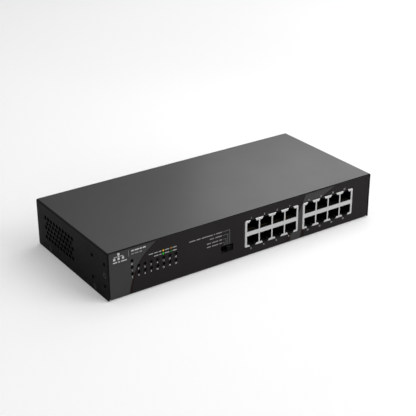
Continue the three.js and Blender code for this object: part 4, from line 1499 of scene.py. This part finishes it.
def build_inlet_blade(name):
    """Blade with a tapered nose, and a flat tab with a hole at its inner end."""
    node = f"ac_inlet_{name}_pin"
    box = Box(node)
    stations = [(1.0, 2.0, 44.2), (1.0, 2.0, 59.0), (0.92, 1.92, 59.8),
                (0.62, 1.6, 60.7), (0.45, 1.45, 61.0)]     # half width, half height, y
    rings = []
    for wide, high, y in stations:
        loop = rect(box.x - wide, box.x + wide, box.z - high, box.z + high, 0.28 * wide, 3)
        rings.append([(u, y, v) for u, v in loop])
    shape = Shape()
    loft(shape, rings, "brass_blade")
    sheet(shape, rect(37.0, 44.4, box.z - 2.0, box.z + 2.0, 0.5),
          [circle(39.6, box.z, 0.7, 16)], lambda u, v, w: (box.x - 0.4 + w, u, v),
          0.8, "brass_blade", edge=0.1)
    shape.emit(f"inlet_blade_{name}", "brass_pin", [node])


# =====================================================================================
# carried-over CAD nodes: material and bevel width
# =====================================================================================
CARRIED = {
    "main_board": ("board_green", 0.15), "psu_board": ("board_tan", 0.15),
    "psu_insulator": ("polyester_sheet", 0.05), "mode_switch_base": ("phenolic", 0.15),
    "switch_chip": ("chip_epoxy", 0.1), "phy_chip_a": ("chip_epoxy", 0.1),
    "phy_chip_b": ("chip_epoxy", 0.1), "switch_heatsink": ("extruded_aluminium", 0.25),
    "power_header": ("natural_nylon", 0.2), "psu_transformer": ("transformer_tape", 0.4),
    "psu_bulk_capacitor": ("blue_sleeve", 0.8), "psu_output_capacitor": ("blue_sleeve", 0.6),
    "psu_line_choke": ("copper_wire", 0.4), "psu_film_capacitor": ("yellow_box", 0.6),
    "psu_fuse": ("fuse_glass", 0.2), "psu_heatsink": ("extruded_aluminium", 0.2),
    "line_lead": ("pvc_brown", 0), "neutral_lead": ("pvc_blue", 0),
    "earth_lead": ("pvc_earth", 0), "dc_lead_positive": ("pvc_red", 0),
    "dc_lead_negative": ("pvc_black", 0),
}
CARRIED.update({f"magnetics_{i}": ("chip_epoxy", 0.3) for i in range(1, 9)})


def finish_carried_nodes():
    for node, (mat, width) in CARRIED.items():
        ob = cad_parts[node]
        if not ob.material_slots:
            ob.data.materials.append(MATS[mat])
        for slot in ob.material_slots:
            slot.material = MATS[mat]
        if width:
            bevel = ob.modifiers.new("edge", "BEVEL")
            bevel.width = width * MM
            bevel.segments = 2
            bevel.limit_method = "ANGLE"
            bevel.angle_limit = math.radians(35)


# =====================================================================================
# stage, light, camera
# =====================================================================================
def stage_material():
    """White floor, dimmer in reflections and bounces; a little glow that only the camera
    sees stands in for the light of a large white room."""
    graph = Graph("stage_white")
    graph.surface(graph.tone(graph.noise(3.0), grey(0.80), grey(0.815)), 0.9, specular=0.1)
    path = graph.new("ShaderNodeLightPath")
    dark = graph.new("ShaderNodeBsdfDiffuse")
    dark.inputs["Color"].default_value = (*grey(0.42), 1.0)
    glow = graph.new("ShaderNodeEmission")
    glow.inputs["Strength"].default_value = 0.20
    both = graph.new("ShaderNodeAddShader")
    graph.link(graph.shader.outputs[0], both.inputs[0])
    graph.link(glow.outputs[0], both.inputs[1])
    mix = graph.new("ShaderNodeMixShader")
    graph.link(path.outputs["Is Camera Ray"], mix.inputs[0])
    graph.link(dark.outputs[0], mix.inputs[1])
    graph.link(both.outputs[0], mix.inputs[2])
    graph.link(mix.outputs[0], graph.out.inputs[0])


def build_floor():
    half = 6.0
    mesh = bpy.data.meshes.new("stage_floor")
    mesh.from_pydata([(x, y, 0) for x, y in rect(-half, half, -half, half)], [], [(0, 1, 2, 3)])
    ob = bpy.data.objects.new("stage_floor", mesh)
    ob.location = (0, 0, -0.0003)      # just under the case
    bpy.context.scene.collection.objects.link(ob)
    stage_material()
    mesh.materials.append(MATS["stage_white"])


# soft box in the sky: azimuth 0 is behind the switch (+Y) and 90 its right (+X)
SKY_BASE = 0.05
SKY_AZIMUTH, SKY_ELEVATION = math.radians(60), math.radians(48)
SKY_INNER, SKY_OUTER = math.radians(26), math.radians(38)     # half widths
SKY_POWER = 1.5


def build_world():
    """White to the camera; a low base level for all light; a soft box for reflections."""
    world = bpy.data.worlds.new("studio")
    bpy.context.scene.world = world
    world.use_nodes = True
    nodes, link = world.node_tree.nodes, world.node_tree.links.new
    nodes.clear()
    out = nodes.new("ShaderNodeOutputWorld")
    seen = nodes.new("ShaderNodeBackground")
    seen.inputs["Color"].default_value = (1, 1, 1, 1)
    seen.inputs["Strength"].default_value = 1.0
    lit = nodes.new("ShaderNodeBackground")
    path = nodes.new("ShaderNodeLightPath")
    coords = nodes.new("ShaderNodeTexCoord")

    facing = nodes.new("ShaderNodeVectorMath")
    facing.operation = "DOT_PRODUCT"
    facing.inputs[1].default_value = (math.sin(SKY_AZIMUTH) * math.cos(SKY_ELEVATION),
                                      math.cos(SKY_AZIMUTH) * math.cos(SKY_ELEVATION),
                                      math.sin(SKY_ELEVATION))
    link(coords.outputs["Generated"], facing.inputs[0])
    ramp = nodes.new("ShaderNodeMapRange")
    ramp.interpolation_type = "SMOOTHSTEP"
    ramp.inputs["From Min"].default_value = math.cos(SKY_OUTER)
    ramp.inputs["From Max"].default_value = math.cos(SKY_INNER)
    ramp.inputs["To Min"].default_value = 0.0
    ramp.inputs["To Max"].default_value = SKY_POWER
    link(facing.outputs["Value"], ramp.inputs["Value"])
    # sum of the soft boxes; a second one would go into the free input
    total = nodes.new("ShaderNodeMath")
    total.operation = "ADD"
    total.inputs[1].default_value = 0.0
    link(ramp.outputs[0], total.inputs[0])
    strength = nodes.new("ShaderNodeMath")
    strength.operation = "MULTIPLY_ADD"
    strength.inputs[2].default_value = SKY_BASE
    link(total.outputs[0], strength.inputs[0])
    link(path.outputs["Is Glossy Ray"], strength.inputs[1])
    link(strength.outputs[0], lit.inputs["Strength"])

    mix = nodes.new("ShaderNodeMixShader")
    link(path.outputs["Is Camera Ray"], mix.inputs[0])
    link(lit.outputs[0], mix.inputs[1])
    link(seen.outputs[0], mix.inputs[2])
    link(mix.outputs[0], out.inputs[0])


# square area lights: name, location, target, side in metres, watts
LIGHTS = [
    ("key", (1.5, 0.7, 1.3), (0, 0, 0), 1.6, 8.5),
    ("side", (1.75, -0.1, 1.25), (0, 0, 0), 1.6, 8.0),
    ("front_fill", (1.1, -1.4, 0.9), (0, 0, 0), 1.6, 28.0),
    ("overhead", (0.1, 0.0, 2.2), (0, 0, 0), 2.6, 33.0),
    ("sheen", (0.26, 0.27, 0.24), (0.0, -0.06, 0.044), 0.16, 0.055),
]


def build_lights():
    for name, location, target, size, watts in LIGHTS:
        light = bpy.data.lights.new(name, "AREA")
        light.shape = "RECTANGLE"
        light.size = size
        light.size_y = size
        light.energy = watts
        ob = bpy.data.objects.new(name, light)
        ob.location = location
        aim = Vector(target) - Vector(location)
        ob.rotation_euler = aim.to_track_quat("-Z", "Y").to_euler()
        bpy.context.scene.collection.objects.link(ob)


# axes of the camera in the scene, and its place
CAMERA_RIGHT = (0.8249124, -0.5652545, -0.0026202)
CAMERA_UP = (0.2443044, 0.3523414, 0.9034218)
CAMERA_BACK = (-0.5097400, -0.7458840, 0.4287450)
CAMERA_PLACE = (-0.47896, -0.70119, 0.42476)


def build_camera():
    camera = bpy.data.cameras.new("camera")
    camera.sensor_width = 36.0
    camera.sensor_fit = "HORIZONTAL"
    camera.lens = 89.09
    camera.clip_start = 0.01
    ob = bpy.data.objects.new("camera", camera)
    scene = bpy.context.scene
    scene.collection.objects.link(ob)
    matrix = Matrix((CAMERA_RIGHT, CAMERA_UP, CAMERA_BACK)).transposed().to_4x4()
    matrix.translation = CAMERA_PLACE
    ob.matrix_world = matrix
    scene.camera = ob
    scene.view_settings.view_transform = "Standard"
    scene.view_settings.look = "None"
    scene.view_settings.exposure = 0.0
    scene.view_settings.gamma = 1.0


build_cover()
build_chassis()
build_posts()
build_film()
build_printing()
build_jacks()
build_screws()
build_knob()
build_wiper()
build_switch_can()
build_light_pipes()
build_lamp_shroud()
build_inlet()
for name in ("line", "neutral", "earth"):
    build_inlet_blade(name)
finish_carried_nodes()
build_floor()
build_world()
build_lights()
build_camera()
